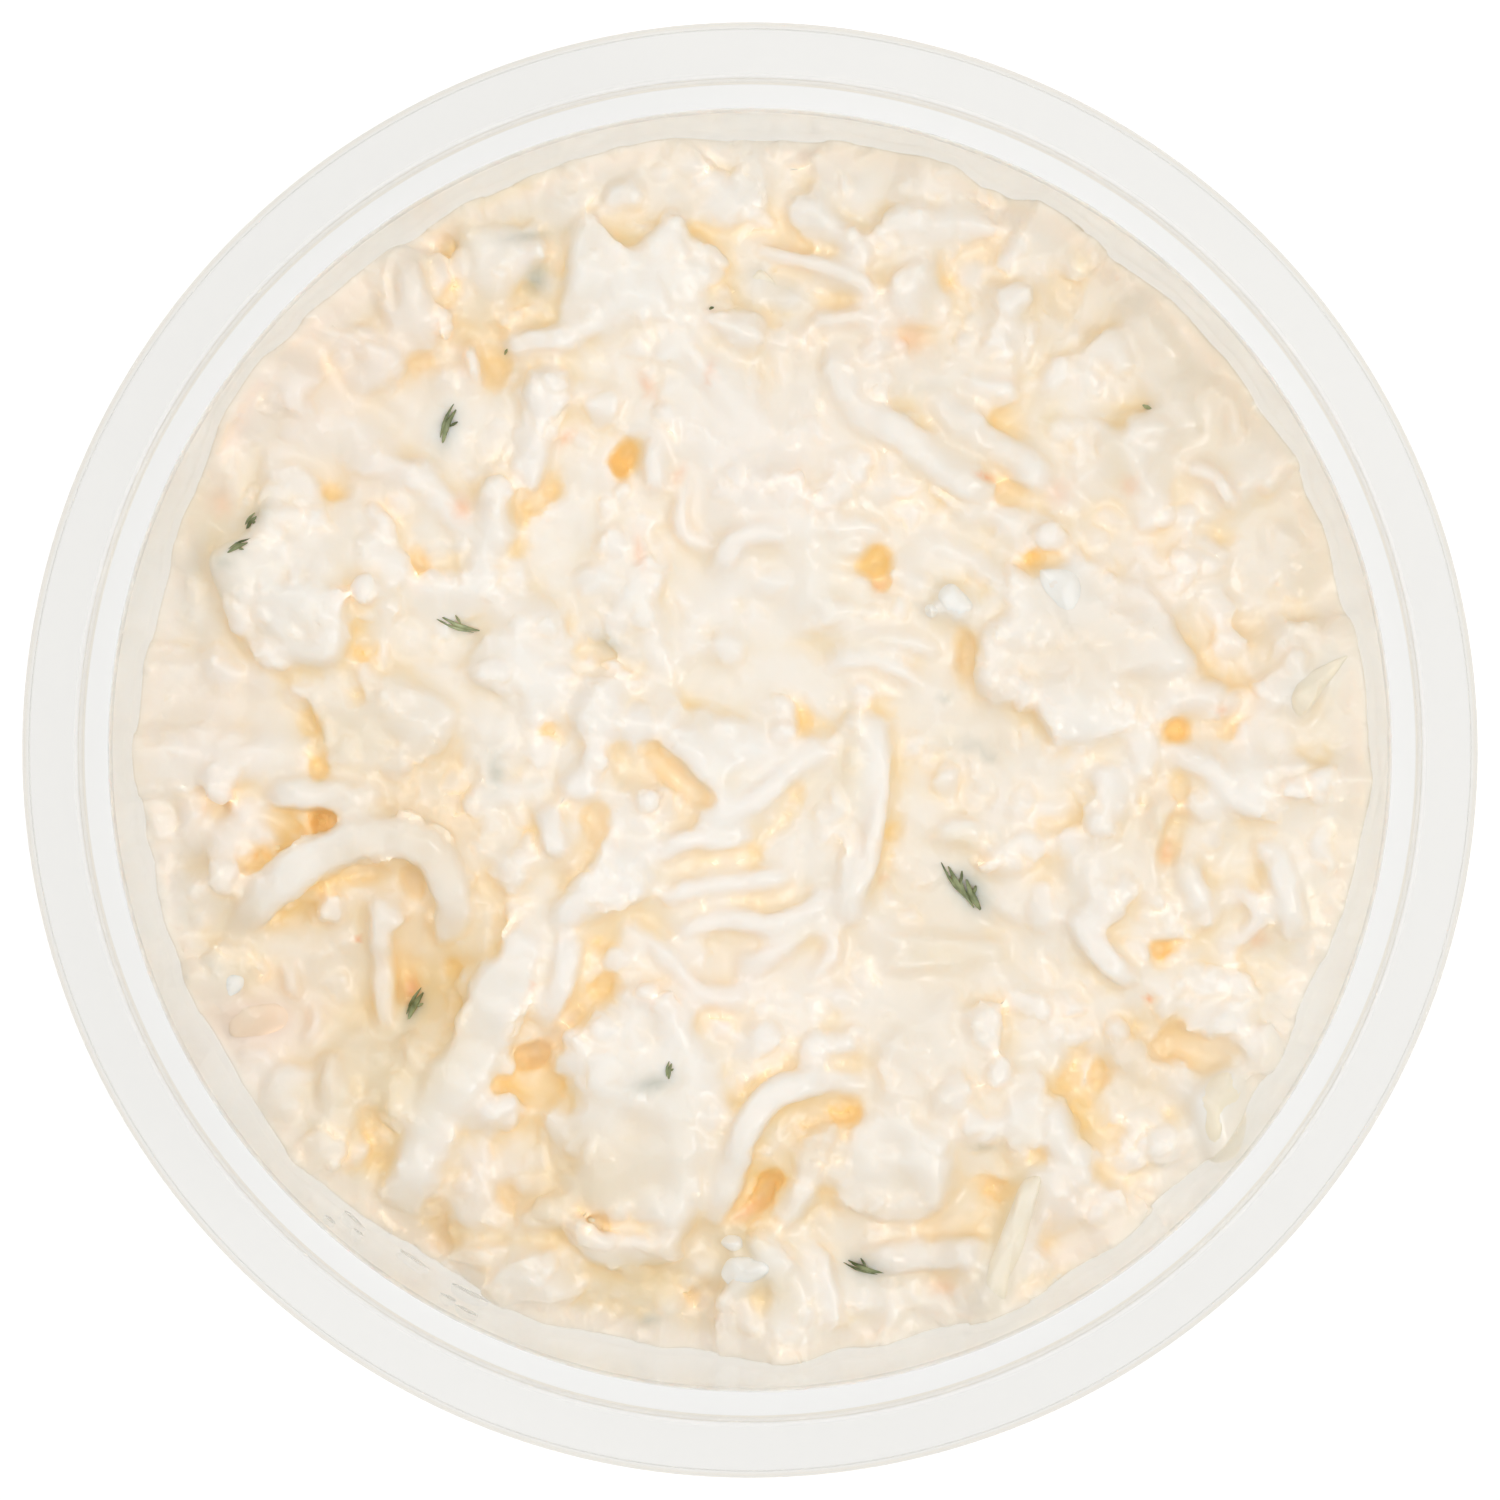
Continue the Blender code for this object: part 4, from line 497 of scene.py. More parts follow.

# Broad zones where the dressing is paler, more beige, and more pink. The pale ones are partly painted light
# on places that lie in shade, the beige ones partly painted shade on low places; each also carries the
# dressing's own uneven tone, and the pink zones are that tone alone.
PALE_AND_LIT_ZONES = (
    (-39.5, 9.0, 2.6, 4.0, 0, 0.9), (-40.6, -5.0, 2.4, 4.0, 0, 0.9), (-24.4, -12.0, 2.4, 2.6, 0, 0.6),
    (-15.6, 22.0, 3.0, 6.0, 0, 0.7), (-12.0, 6.0, 4.0, 4.0, 0, 0.6), (-8.0, -5.0, 7.0, 7.0, 0, 0.7),
    (35.0, 10.0, 6.0, 3.0, 0, 0.8), (37.0, -15.0, 4.0, 8.0, 0, 0.8), (33.0, -21.0, 3.0, 3.0, 0, 0.6),
    (28.4, -29.0, 4.0, 3.4, 0, 0.9), (21.0, -15.0, 4.0, 8.0, 0, 0.7), (-15.0, -20.0, 2.0, 3.0, 0, 0.5),
    (16.0, 35.6, 3.4, 6.0, 0, 0.8), (2.4, 34.0, 3.6, 6.0, 0, 0.5), (22.0, 31.0, 4.0, 3.0, 0, 0.6),
    (-1.0, 41.6, 4.0, 2.0, 0, 0.8), (-14.0, 36.0, 3.0, 3.0, 0, 0.6), (3.0, -21.0, 5.0, 3.0, 0, 0.6),
    (8.0, -34.6, 6.0, 3.0, 0, 0.9), (0.0, -15.0, 8.0, 4.0, 0, 0.5), (35.0, -5.6, 3.0, 4.0, 0, 0.7),
    (-3.0, 15.0, 3.0, 4.0, 0, 0.6), (-20.0, 8.0, 4.0, 3.0, 0, 0.6), (16.0, 6.0, 3.0, 6.0, 0, 0.4),
    (-3.0, -40.6, 4.0, 2.0, 0, 0.7), (12.0, -38.0, 5.0, 2.0, 0, 0.7), (24.0, -1.0, 3.0, 5.0, 0, 0.5),
    (-30.0, 30.0, 3.0, 3.0, 0, 0.4), (0.0, 25.0, 5.0, 6.0, 0, 0.4), (-34.0, 20.0, 2.0, 5.0, 0, 0.4),
    (-12.6, -12.0, 2.6, 8.0, 150, 0.7), (-12.6, 0.0, 2.6, 5.0, 0, 0.6), (25.0, -14.0, 4.0, 5.0, 0, 0.6),
    (-34.6, -22.4, 4.0, 2.4, 130, 0.7), (-4.6, -3.0, 3.6, 3.6, 0, 0.7), (20.4, -4.0, 2.4, 5.0, 0, 0.6),
    (17.0, -28.0, 3.0, 3.0, 0, 0.5), (37.6, -3.0, 3.0, 5.0, 0, 0.5), (32.0, 18.0, 2.6, 3.0, 0, 0.5),
    (-42.0, -9.0, 2.0, 5.0, 0, 0.7), (-2.4, 14.6, 2.4, 5.0, 0, 0.6), (-22.6, 13.6, 3.0, 3.0, 0, 0.5),
    (0.6, -2.4, 5.0, 3.6, 0, 0.9), (0.0, 20.6, 5.0, 5.0, 0, 0.9), (-31.0, 24.0, 6.0, 3.6, 40, 0.7),
    (-38.6, 10.0, 2.6, 3.4, 0, 0.8), (-40.0, -3.6, 3.0, 5.0, 0, 0.6), (-13.4, 1.0, 2.0, 5.0, 165, 0.6),
    (33.0, -22.0, 2.6, 3.6, 0, 0.6), (30.4, -28.6, 3.0, 2.4, 0, 0.6), (13.6, -38.6, 3.0, 1.6, 0, 0.5),
    (4.6, -9.4, 4.0, 4.0, 0, 0.5), (14.4, -20.6, 4.0, 3.0, 0, 0.4), (6.0, -37.0, 9.0, 4.0, 0, 0.9),
    (-2.4, -40.0, 4.0, 2.4, 0, 0.9), (32.4, -25.0, 2.6, 4.6, 150, 0.9), (-37.6, 12.0, 2.6, 6.0, 160, 0.9),
    (-19.0, 6.0, 3.0, 4.0, 0, 0.8), (-14.6, -19.6, 3.0, 3.0, 0, 0.8), (23.0, -12.6, 3.4, 4.4, 0, 0.8),
    (-25.0, 33.6, 3.0, 3.6, 0, 0.6), (-35.4, -21.0, 3.6, 3.0, 0, 0.8), (-1.6, 12.6, 3.0, 4.0, 0, 0.8),
)
BEIGE_AND_SHADE_ZONES = (
    (-26.0, -22.0, 7.0, 3.6, 35, 1.0), (-10.6, -30.0, 7.0, 4.0, 25, 0.9), (-36.0, -13.0, 2.4, 4.0, 0, 0.9),
    (-27.0, 1.0, 4.0, 3.4, 0, 0.6), (12.0, -20.0, 4.0, 8.0, 0, 0.5), (-38.4, 16.6, 2.4, 3.0, 0, 0.6),
    (25.0, 20.0, 4.0, 3.0, 0, 0.4), (24.0, 7.0, 5.0, 3.4, 0, 0.7), (5.4, -28.0, 3.0, 3.0, 0, 0.5),
    (33.0, 26.0, 6.0, 6.0, 0, 0.9), (39.6, 15.0, 3.0, 8.0, 0, 0.8), (-30.0, -15.0, 5.0, 4.0, 0, 0.8),
    (-4.6, -35.0, 5.0, 2.0, 20, 0.7), (28.0, -21.6, 3.0, 3.0, 0, 0.5), (11.0, 42.0, 6.0, 1.6, 0, 0.6),
    (-24.2, -3.4, 5.5, 7.5, 0, 0.8), (28.6, 30.0, 11.0, 4.0, 135, 0.7), (38.6, 14.0, 4.0, 9.0, 0, 0.5),
    (14.4, -12.6, 7.5, 6.0, 0, 0.5), (-38.0, 16.0, 3.0, 4.0, 20, 0.4), (-23.6, -34.0, 4.0, 2.5, 150, 0.8),
    (16.6, 1.0, 3.0, 6.0, 0, 0.5), (7.0, 30.0, 9.0, 6.0, 0, 0.3), (12.0, -33.0, 8.0, 4.0, 0, 0.5),
    (-22.5, 30.0, 6.0, 6.0, 0, 0.4), (-5.0, -38.5, 6.0, 2.4, 0, 0.5), (-28.0, -14.0, 6.0, 6.0, 0, 0.5),
    (-22.0, -6.0, 3.6, 6.4, 30, 1.0), (-27.4, -7.6, 3.0, 2.0, 0, 0.8), (29.0, -5.6, 2.4, 4.0, 0, 0.8),
    (27.6, -22.0, 3.4, 3.0, 45, 0.9), (-27.0, -24.6, 3.0, 3.6, 0, 0.9), (-12.6, -31.0, 4.0, 2.6, 20, 0.9),
    (4.8, -28.0, 2.6, 2.4, 0, 0.9), (16.0, 20.6, 3.6, 1.8, 140, 0.7), (-18.0, 30.8, 2.4, 2.0, 0, 0.9),
)
PINK_ZONES = (
    (-38.0, 2.6, 4.4, 6.0, 0, 0.8), (-29.6, 26.4, 8.5, 4.6, 40, 0.9), (-34.8, -18.6, 4.4, 3.6, 0, 1.0),
    (-27.0, 19.6, 4.0, 3.0, 0, 0.6), (-1.0, -16.0, 8.0, 3.0, 10, 0.5), (33.6, 3.4, 4.0, 4.0, 0, 0.5),
    (21.6, -34.0, 3.0, 4.0, 0, 0.8), (-37.6, -5.6, 4.0, 4.0, 0, 0.6), (1.5, 20.0, 8.0, 6.0, 0, 0.4),
    (-18.6, -30.6, 4.0, 4.0, 0, 0.6), (10.0, 29.0, 3.4, 3.0, 0, 0.5), (28.0, 12.0, 6.0, 5.0, 0, 0.4),
)

# Painted shade: broad folds and low zones coloured like the warm shade that gathers in the dressing: x, y,
# half length, half width, turn, strength.
SHADED_FOLDS = (
    (-26.6, -21.0, 5.5, 3.0, 50, 0.8), (-13.4, -30.4, 3.6, 3.0, 20, 0.7), (-18.6, -10.0, 1.6, 4.0, 15, 0.6),
    (28.0, -21.4, 2.6, 2.4, 0, 0.7), (5.4, -28.0, 2.4, 3.0, 0, 0.6), (-18.2, 30.6, 2.2, 1.6, 0, 0.9),
    (-26.6, 0.4, 3.6, 3.4, 0, 0.4), (-35.6, -13.4, 1.8, 4.0, 0, 0.5), (1.6, -37.4, 1.6, 2.2, 150, 0.6),
    (-7.0, -37.6, 3.6, 1.8, 0, 0.5), (15.4, 21.0, 3.4, 1.4, 145, 0.5), (25.0, 16.2, 2.6, 2.0, 0, 0.4),
    (-38.2, 15.0, 1.8, 3.0, 0, 0.4), (18.6, -32.4, 2.2, 3.6, 160, 0.5), (-10.0, 34.6, 3.0, 2.2, 0, 0.3),
    (7.6, 22.8, 4.0, 1.6, 150, 0.3), (-30.4, 1.0, 0.8, 2.6, 0, 0.8), (-34.0, -7.6, 3.6, 1.0, 35, 0.7),
    (-29.0, -9.0, 3.4, 0.9, 10, 0.7), (33.8, 4.6, 1.6, 3.0, 160, 0.5), (-11.0, -16.0, 1.6, 4.0, 140, 0.5),
    (4.0, 7.4, 8.0, 0.6, 5, 0.3), (-5.0, 17.6, 0.8, 3.4, 10, 0.4), (22.6, -23.0, 1.6, 2.6, 160, 0.5),
    (24.0, -25.4, 1.6, 2.4, 160, 0.9), (28.0, -20.6, 2.0, 2.4, 0, 0.9), (29.5, -14.2, 1.1, 1.3, 0, 0.9),
    (-26.6, -26.4, 1.1, 3.6, 170, 0.9), (-38.2, 15.8, 1.5, 2.4, 0, 0.8), (3.4, -28.8, 5.6, 1.3, 50, 0.9),
    (-6.6, -38.0, 2.4, 1.2, 0, 0.8), (0.8, -38.6, 1.1, 1.6, 0, 0.8), (17.4, -31.6, 1.8, 2.2, 0, 0.7),
    (-14.2, -31.6, 2.6, 1.4, 20, 0.9), (-21.6, -34.0, 1.3, 1.4, 0, 0.9), (29.5, -5.8, 0.9, 2.4, 170, 0.9),
    (-30.4, 0.0, 1.0, 3.0, 0, 0.7), (-15.2, -21.6, 1.4, 1.0, 0, 1.0), (-23.6, -17.2, 1.6, 1.8, 0, 1.0),
    (-22.4, -4.0, 2.6, 5.6, 30, 0.5), (-26.6, 4.0, 2.0, 4.0, 20, 0.4), (27.6, -22.6, 2.6, 2.2, 0, 0.8),
)

# Drops and smears of dressing on the wall: angle in degrees, level, half length, half height.
DROPS = (
    (228.2, 43.9, 0.45, 0.5), (231.0, 41.6, 0.42, 0.8), (241.2, 42.6, 0.55, 0.7), (243.2, 43.4, 0.85, 0.6),
    (229.8, 39.6, 0.9, 0.9), (236.6, 38.6, 1.3, 0.8), (242.6, 38.8, 1.5, 0.9),
)

# Smooth pools of dressing, where little stands out: x, y, half length, half width, turn.
POOLS = (
    (32.0, 22.0, 13.0, 5.0, 130), (-28.0, -20.0, 7.0, 5.0, 30), (-35.0, 2.0, 4.0, 5.0, 0),
    (-28.0, 23.0, 5.0, 4.0, 30), (17.0, -11.6, 4.0, 2.4, 10), (14.0, -32.0, 3.4, 3.0, 0),
    (-1.6, 24.0, 5.0, 3.6, 0), (11.0, -20.0, 5.0, 3.4, 30), (-33.0, -31.0, 7.0, 3.0, 130),
    (-6.6, -26.6, 5.0, 6.6, 0), (15.0, 2.0, 3.0, 3.0, 0), (-38.0, 14.0, 3.0, 6.0, 0),
    (-22.6, 22.4, 4.0, 4.0, 0), (-35.0, -19.0, 3.8, 2.6, 0), (21.8, 11.0, 2.4, 2.8, 0),
    (0.0, 10.0, 5.0, 6.0, 0), (-2.0, 0.0, 5.0, 5.0, 0), (-20.0, 3.0, 4.0, 4.0, 0),
)

# The loose shreds and crumbs between them, spread by chance from one seed. They sink deeper in a
# pool and near a named piece.
SEED = 23
SHREDS = 150
SHRED_LENGTHS = (3.0, 9.0)
SHRED_BOWS = (-1.4, 1.4)
SHRED_WIDTHS = (1.4, 2.6)
SHRED_DEPTH_SHARES = (0.5, 0.8)
SHRED_LIFTS = (0.0, 0.6)
SHRED_TILTS = (-1.6, 1.6)
CRUMBS = 330
CRUMB_HALF_LENGTHS = (0.35, 1.4)
CRUMB_WIDTH_SHARES = (0.6, 1.0)
CRUMB_LIFTS = (-0.1, 0.5)
SPREAD_RADIUS = 42.0
NEAR_NAMED = 2.4
SINK_IN_POOL = 0.9
SINK_NEAR_NAMED = 0.7
CRUMB_SINK_SHARE = 0.6

# A strand's cuts along its length, its sides, how square its section is, how much of it lies in the bed,
# how much of a hollow it bridges, how far its ends reach up, and how soon it tapers.
STRAND_CUT = 0.8
STRAND_SIDES = 10
STRAND_SQUARENESS = 0.6
STRAND_SUNK = 0.32
STRAND_BRIDGES = 0.45
STRAND_END_LIFT = 0.15
STRAND_TAPER = 1.6

# How high a lump is for its width, how much of its lift it gets, and how much of it lies in the bed.
LUMP_HEIGHT_SHARE = 0.62
LUMP_LIFT_SHARE = 0.75
LUMP_SUNK = 0.6

# A mound's rounded rim: its width for a rise of one, how much and over what span that wavers, the least.
RIM_WIDTH = 1.8
RIM_WAVER = 3.2
RIM_SPAN = 5.0
LEAST_RIM = 0.6

# How softly a high piece is kept under the highest level.
EASE_ROOM = 0.8

# How the dressing coats the pile, how its pockets are pressed in, and how many triangles it may have.
PILE_VOXEL = 0.27
SKIN_VOXEL = 0.23
COAT = 0.42
SMOOTHINGS = 3
POCKET_EDGE = 0.8
POCKET_MIDDLE = 1.1
POCKET_DEPTH = 0.95
POCKET_WAVER = 0.3
DEEPEST_POCKET = 2.4
MOST_TRIANGLES = 186000
LEFT_BY_CUTS = 0.93

# The curds in the dressing: height and cell, for the large and the small ones. They are lower on a strand.
CURDS = ((0.54, 3.0), (0.34, 1.9), (0.12, 1.1))
CURD_RADIUS = 0.30
CURD_RADIUS_SPREAD = 0.22
CURD_WAVER = 0.35
CURD_CHANCE = -0.35
STRAND_SPOTS = 24
ON_STRAND = 1.5
CURDS_ON_STRAND = 0.25

# The map of the top from which the painted shade of its folds is worked out, in millimetres and steps.
MAP_CELL = 0.25
MAP_HALF = 180
MAP_REACH = 41.6
MAP_FADE = 1.4
FADE_END = MAP_REACH + 0.4
GAP_BLUR = 1.2
SHUT_BLUR = 0.8
LOWEST_TOP = 34.0
UNKNOWN_LEVEL = 38.0
LOOK_WAYS = 16
LOOK_REACHES = (0.4, 0.8, 1.3, 2.0, 3.0, 4.5, 6.5)
BROAD_RADIUS = 4.5
NEAR_RADIUS = 0.9
WALL_SKIN = 0.25
TOP_DEPTH = 4.5
TOP_DEPTH_AT_WALL = 1.0
EDGE_SHUT_IN = 0.10
SIDE_SHUT_IN = 0.06
WALL_SHUT_IN = (0.08, 0.2)
LOW_BESIDE = (-0.3, 0.9)
FULL_SLANT = 0.6
WALL_NEARNESS = 0.8
TOPPING_NEARNESS = 1.1
TOPPING_MARGIN = 1.5

# Painted shade: the dressing's colour by how deep in shade each place lies, from pale on the open ridges
# through peach to orange in the most shut-in folds and pockets, and how much each stored value adds to that
# depth of shade.
DRESSING_SHADE_COLOURS = (
    (0.03, (0.988, 0.942, 0.86)), (0.16, (0.983, 0.908, 0.797)), (0.32, (0.975, 0.865, 0.70)),
    (0.52, (0.98, 0.79, 0.50)), (0.78, (0.99, 0.69, 0.27)),
)
SHADE_SHARES = (
    ("low_lying", 0.065), ("low_beside", 0.20), ("on_slope", 0.10), ("shut_in", 1.0), ("pocket_shade", 0.27),
)
PATCH_SHARE = 0.20

# What tints the dressing: the name it is stored under, its ovals, its share and its tint. The pale tint is
# partly painted light, the beige, yellow and orange ones partly painted shade.
TINTS = (
    ("pale_and_lit", PALE_AND_LIT_ZONES, 0.7, (0.995, 0.957, 0.893)),
    ("beige_and_shade", BEIGE_AND_SHADE_ZONES, 0.85, (0.91, 0.785, 0.61)),
    ("pink_under", PINK_ZONES, 0.5, (1.0, 0.85, 0.72)),
    ("yellow_and_shade", YELLOW_UNDER_AND_SHADE, 0.55, (0.95, 0.775, 0.46)),
    ("orange_and_shade", ORANGE_UNDER_AND_SHADE, 0.9, (0.97, 0.50, 0.25)),
    ("green_under", GREEN_UNDER, 0.8, (0.25, 0.30, 0.23)),
)

# A topping's rise and foot, how much smaller than its outline it is, and how deep it lies. Then a drop's.
TOPPING_RISE = 0.7
TOPPING_FOOT = 1.2
TOPPING_SIZE = 0.95
TOPPING_SINK = 0.1
DROP_HALF_THICKNESS = 0.10
DROP_SINK = 0.08

# The view, its lens and sensor in millimetres, and the lamps: name, place, size in metres, watts.
CAMERA_LEVEL = 0.548
CAMERA_LENS = 172.98
CAMERA_SENSOR = 36.0
WORLD_STRENGTH = 0.62
FLOOR_HALF_WIDTH = 3.0
FLOOR_GREY = 0.30
FLOOR_GLOW = 0.80
LAMP_AIM = (0.0, 0.0, 0.04)
LAMPS = (
    ("overhead", (0.03, 0.02, 0.64), 0.45, 0.62),
    ("key", (0.40, -0.16, 0.56), 0.13, 0.6),
    ("fill", (-0.36, 0.30, 0.52), 0.14, 0.3),
)


def wall_radius(level):
    """Radius of the tub's inner wall at a level."""
    return LEDGE_RADIUS - (LEDGE_LEVEL - level) * DRAFT


def waves_at(spot, waves):
    """The sum of some waves of noise at a place, each given by its height and span."""
    return sum(height * noise.noise(spot / span) for height, span in waves)


def wall_line(angle):
    """Level of the salad against the wall at an angle in radians."""
    turn = math.degrees(angle) % 360.0
    round_wall = Vector((math.cos(angle), math.sin(angle), 0.0)) * LEDGE_RADIUS
    wander = waves_at(round_wall, WALL_WAVES)
    for (a, low), (b, high) in zip(WALL_LINE, WALL_LINE[1:]):
        if turn <= b:
            share = (turn - a) / (b - a)
            return low + (high - low) * share * share * (3 - 2 * share) + wander
    return WALL_LINE[0][1]


def eased(value, limit, room):
    """A value let through as it is until near the limit, then slowed so it never reaches it."""
    over = value - (limit - room)
    return value if over <= 0 else limit - room * math.exp(-over / room)


def top_level(x, y):
    """Level of the salad's bed at a place."""
    near_wall = min(math.hypot(x, y) / wall_radius(CENTRE_LEVEL), 1.0) ** 4
    level = CENTRE_LEVEL + (wall_line(math.atan2(y, x)) - CENTRE_LEVEL) * near_wall
    for cx, cy, radius, rise in SWELLS:
        level += rise * math.exp(-((x - cx) ** 2 + (y - cy) ** 2) / radius ** 2)
    for span in RUMPLE_SPANS:
        level += RUMPLE_HEIGHT * noise.noise(Vector((x, y, span)) / span)
    return eased(level, BED_HIGHEST, 1.0)


def in_oval(x, y, oval):
    """How far a place is from an oval's middle: 0 there and 1 on its edge."""
    cx, cy, half_length, half_width, degrees = oval[:5]
    turn = math.radians(degrees)
    along = (x - cx) * math.cos(turn) + (y - cy) * math.sin(turn)
    across = (y - cy) * math.cos(turn) - (x - cx) * math.sin(turn)
    return np.sqrt((along / half_length) ** 2 + (across / half_width) ** 2)


def mesh_from(bm, name):
    """A named mesh made of a bmesh, which is freed."""
    mesh = bpy.data.meshes.new(name)
    bm.to_mesh(mesh)
    bm.free()
    return mesh


def piece_from(mesh, name, finish, slot, corner=60.0):
    """An object of the salad or its tub, carried by the part's one body."""
    piece = bpy.data.objects.new(name, mesh)
    bpy.context.scene.collection.objects.link(piece)
    piece.data.materials.clear()
    piece.data.materials.append(finish)
    piece.data.shade_smooth()
    piece.data.set_sharp_from_angle(angle=math.radians(corner))
    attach(piece, "root")
    return piece


def arc(centre, radius, start, end, steps):
    """Points of an arc in the section's plane, angles in degrees."""
    turns = [math.radians(start + (end - start) * i / steps) for i in range(steps + 1)]
    return [(centre[0] + radius * math.cos(t), centre[1] + radius * math.sin(t)) for t in turns]


def tub_section():
    """Half of the tub's section: from the axis out under the tub, up, and back down inside."""
    corner = (wall_radius(BASE_CORNER) + WALL - BASE_CORNER, BASE_CORNER)
    under_ledge = LEDGE_LEVEL - WALL
    under_flange = TUB_HEIGHT - WALL
    outside = [(0.0, PANEL_RISE), (RING_INNER_RADIUS - PANEL_RISE, PANEL_RISE), (RING_INNER_RADIUS, 0.0)]
    outside += arc(corner, BASE_CORNER, -90, BASE_TURN_END, 8)
    outside += [
        (wall_radius(under_ledge) + WALL, under_ledge),
        (MOUTH_RADIUS + WALL - STEP_LEAN, under_ledge),
        (MOUTH_RADIUS + WALL, under_flange),
        (FLANGE_RADIUS - WALL, under_flange),
        (FLANGE_RADIUS - WALL, TUB_HEIGHT - SKIRT_DROP),
        (FLANGE_RADIUS, TUB_HEIGHT - SKIRT_DROP),
    ]
    outside += arc((FLANGE_RADIUS - EDGE_ROUND, TUB_HEIGHT - EDGE_ROUND), EDGE_ROUND, 0, 90, 5)
    inside = arc((MOUTH_RADIUS + EDGE_ROUND, TUB_HEIGHT - EDGE_ROUND), EDGE_ROUND, 90, 180, 5)
    step_foot = (MOUTH_RADIUS - STEP_LEAN - EDGE_ROUND, LEDGE_LEVEL + EDGE_ROUND)
    inside += arc(step_foot, EDGE_ROUND, 0, -90, 4)
    ledge_edge = (LEDGE_RADIUS + EDGE_ROUND, LEDGE_LEVEL - EDGE_ROUND)
    inside += arc(ledge_edge, EDGE_ROUND, 90, 170, 4)
    inside += arc(corner, BASE_CORNER - WALL, BASE_TURN_END, -90, 6)
    inside += [
        (RING_INNER_RADIUS + EDGE_ROUND, WALL),
        (RING_INNER_RADIUS + EDGE_ROUND - PANEL_RISE, FLOOR_LEVEL),
        (0.0, FLOOR_LEVEL),
    ]
    return braced(outside + inside)


def braced(points):
    """A section with a point close to each end of its long lines, so that they shade flat."""
    made = [points[0]]
    for (r0, z0), (r1, z1) in zip(points, points[1:]):
        length = math.hypot(r1 - r0, z1 - z0)
        if length > LONG_LINE:
            for share in (BRACE_GAP / length, 1 - BRACE_GAP / length):
                made.append((r0 + (r1 - r0) * share, z0 + (z1 - z0) * share))
        made.append((r1, z1))
    return made


def turned(points, steps):
    """A closed shape turned round the axis from its half section."""
    bm = bmesh.new()
    verts = [bm.verts.new((r * MM, 0.0, z * MM)) for r, z in points]
    edges = [bm.edges.new(pair) for pair in zip(verts, verts[1:])]
    bmesh.ops.spin(
        bm, geom=verts + edges, cent=(0, 0, 0), axis=(0, 0, 1), angle=math.tau,
        steps=steps, use_merge=True, use_duplicate=False,
    )
    bmesh.ops.remove_doubles(bm, verts=bm.verts, dist=0.002 * MM)
    bmesh.ops.recalc_face_normals(bm, faces=bm.faces)
    return bm


def between(a, b, c, d, share):
    """A place between b and c on the smooth line through four places."""
    return 0.5 * (2 * b + (c - a) * share + (2 * a - 5 * b + 4 * c - d) * share ** 2
                  + (3 * b - a - 3 * c + d) * share ** 3)


def curve_through(points, share):
    """A place on the smooth line through some places, at a share of the way along."""
    count = len(points) - 1
    where = min(share * count, count - 1e-6)
    i = int(where)
    near = [Vector(points[min(max(k, 0), count)]) for k in (i - 1, i, i + 1, i + 2)]
    return between(*near, where - i)


def outline_through(places, steps):
    """The smooth closed line through some places."""
    count = len(places)
    made = []
    for i in range(count):
        near = [Vector(places[(i + k) % count]) for k in (-1, 0, 1, 2)]
        made += [between(*near, step / steps) for step in range(steps)]
    return made


def strand(width, depth, lift, *places, sink=0.0, ragged=0.34, tilt=0.0, point=0.66, ground=top_level):
    """A shred of cheese lying on the bed: a flattened bar along a smooth line, its ends sunk."""
    length = sum(math.dist(a, b) for a, b in zip(places, places[1:]))
    steps = max(5, int(length / STRAND_CUT))
    bm = bmesh.new()
    bmesh.ops.create_cone(
        bm, cap_ends=True, segments=STRAND_SIDES, radius1=1.0, radius2=1.0, depth=1.0,
    )
    for i in range(1, steps):
        bmesh.ops.bisect_plane(
            bm, geom=bm.verts[:] + bm.edges[:] + bm.faces[:],
            plane_co=(0, 0, i / steps - 0.5), plane_no=(0, 0, 1),
        )
    middle = curve_through(places, 0.5)
    crown = ground(middle.x, middle.y)
    for vert in bm.verts:
        share = vert.co.z + 0.5
        across, up = vert.co.x, vert.co.y
        size = max(abs(across), abs(up)) ** STRAND_SQUARENESS
        across, up = across / size, up / size
        place = curve_through(places, share)
        ahead = curve_through(places, min(share + 0.02, 1))
        behind = curve_through(places, max(share - 0.02, 0))
        run = (ahead - behind).normalized()
        arch = 4 * share * (1 - share)
        taper = min(1.0, point + STRAND_TAPER * min(share, 1 - share))
        bed = ground(place.x, place.y)
        bed += max(crown - bed, 0.0) * STRAND_BRIDGES * arch
        rise = lift * (STRAND_END_LIFT + (1 - STRAND_END_LIFT) * arch ** 0.6)
        level = bed + rise - depth * STRAND_SUNK - sink + tilt * (share - 0.5)
        rough = 1.0 + ragged * noise.noise(Vector((place.x + across, place.y + up, lift * 7)) * 0.9)
        side = Vector((-run.y, run.x)) * across * width / 2 * taper * rough
        z = eased(level + up * depth / 2 * taper * rough, HIGHEST, EASE_ROOM)
        vert.co = Vector((place.x + side.x, place.y + side.y, z)) * MM
    return bm


def lump(x, y, half_length, half_width, degrees, lift, dents=0.3):
    """A crumb or lump: a dented ball, half sunk in the bed."""
    bm = bmesh.new()
    bmesh.ops.create_icosphere(bm, subdivisions=3 if half_length > 1.0 else 2, radius=1.0)
    half_height = min(half_length, half_width) * LUMP_HEIGHT_SHARE
    level = top_level(x, y) + LUMP_LIFT_SHARE * lift - half_height * LUMP_SUNK
    middle = Vector((x, y, level))
    turn = Matrix.Rotation(math.radians(degrees), 3, "Z")
    for vert in bm.verts:
        dent = 1.0 + 1.4 * dents * noise.noise(vert.co * 1.5 + Vector((x, y, 0.0)))
        spot = middle + turn @ (vert.co * Vector((half_length, half_width, half_height)) * dent)
        vert.co = Vector((spot.x, spot.y, eased(spot.z, HIGHEST, EASE_ROOM))) * MM
    return bm


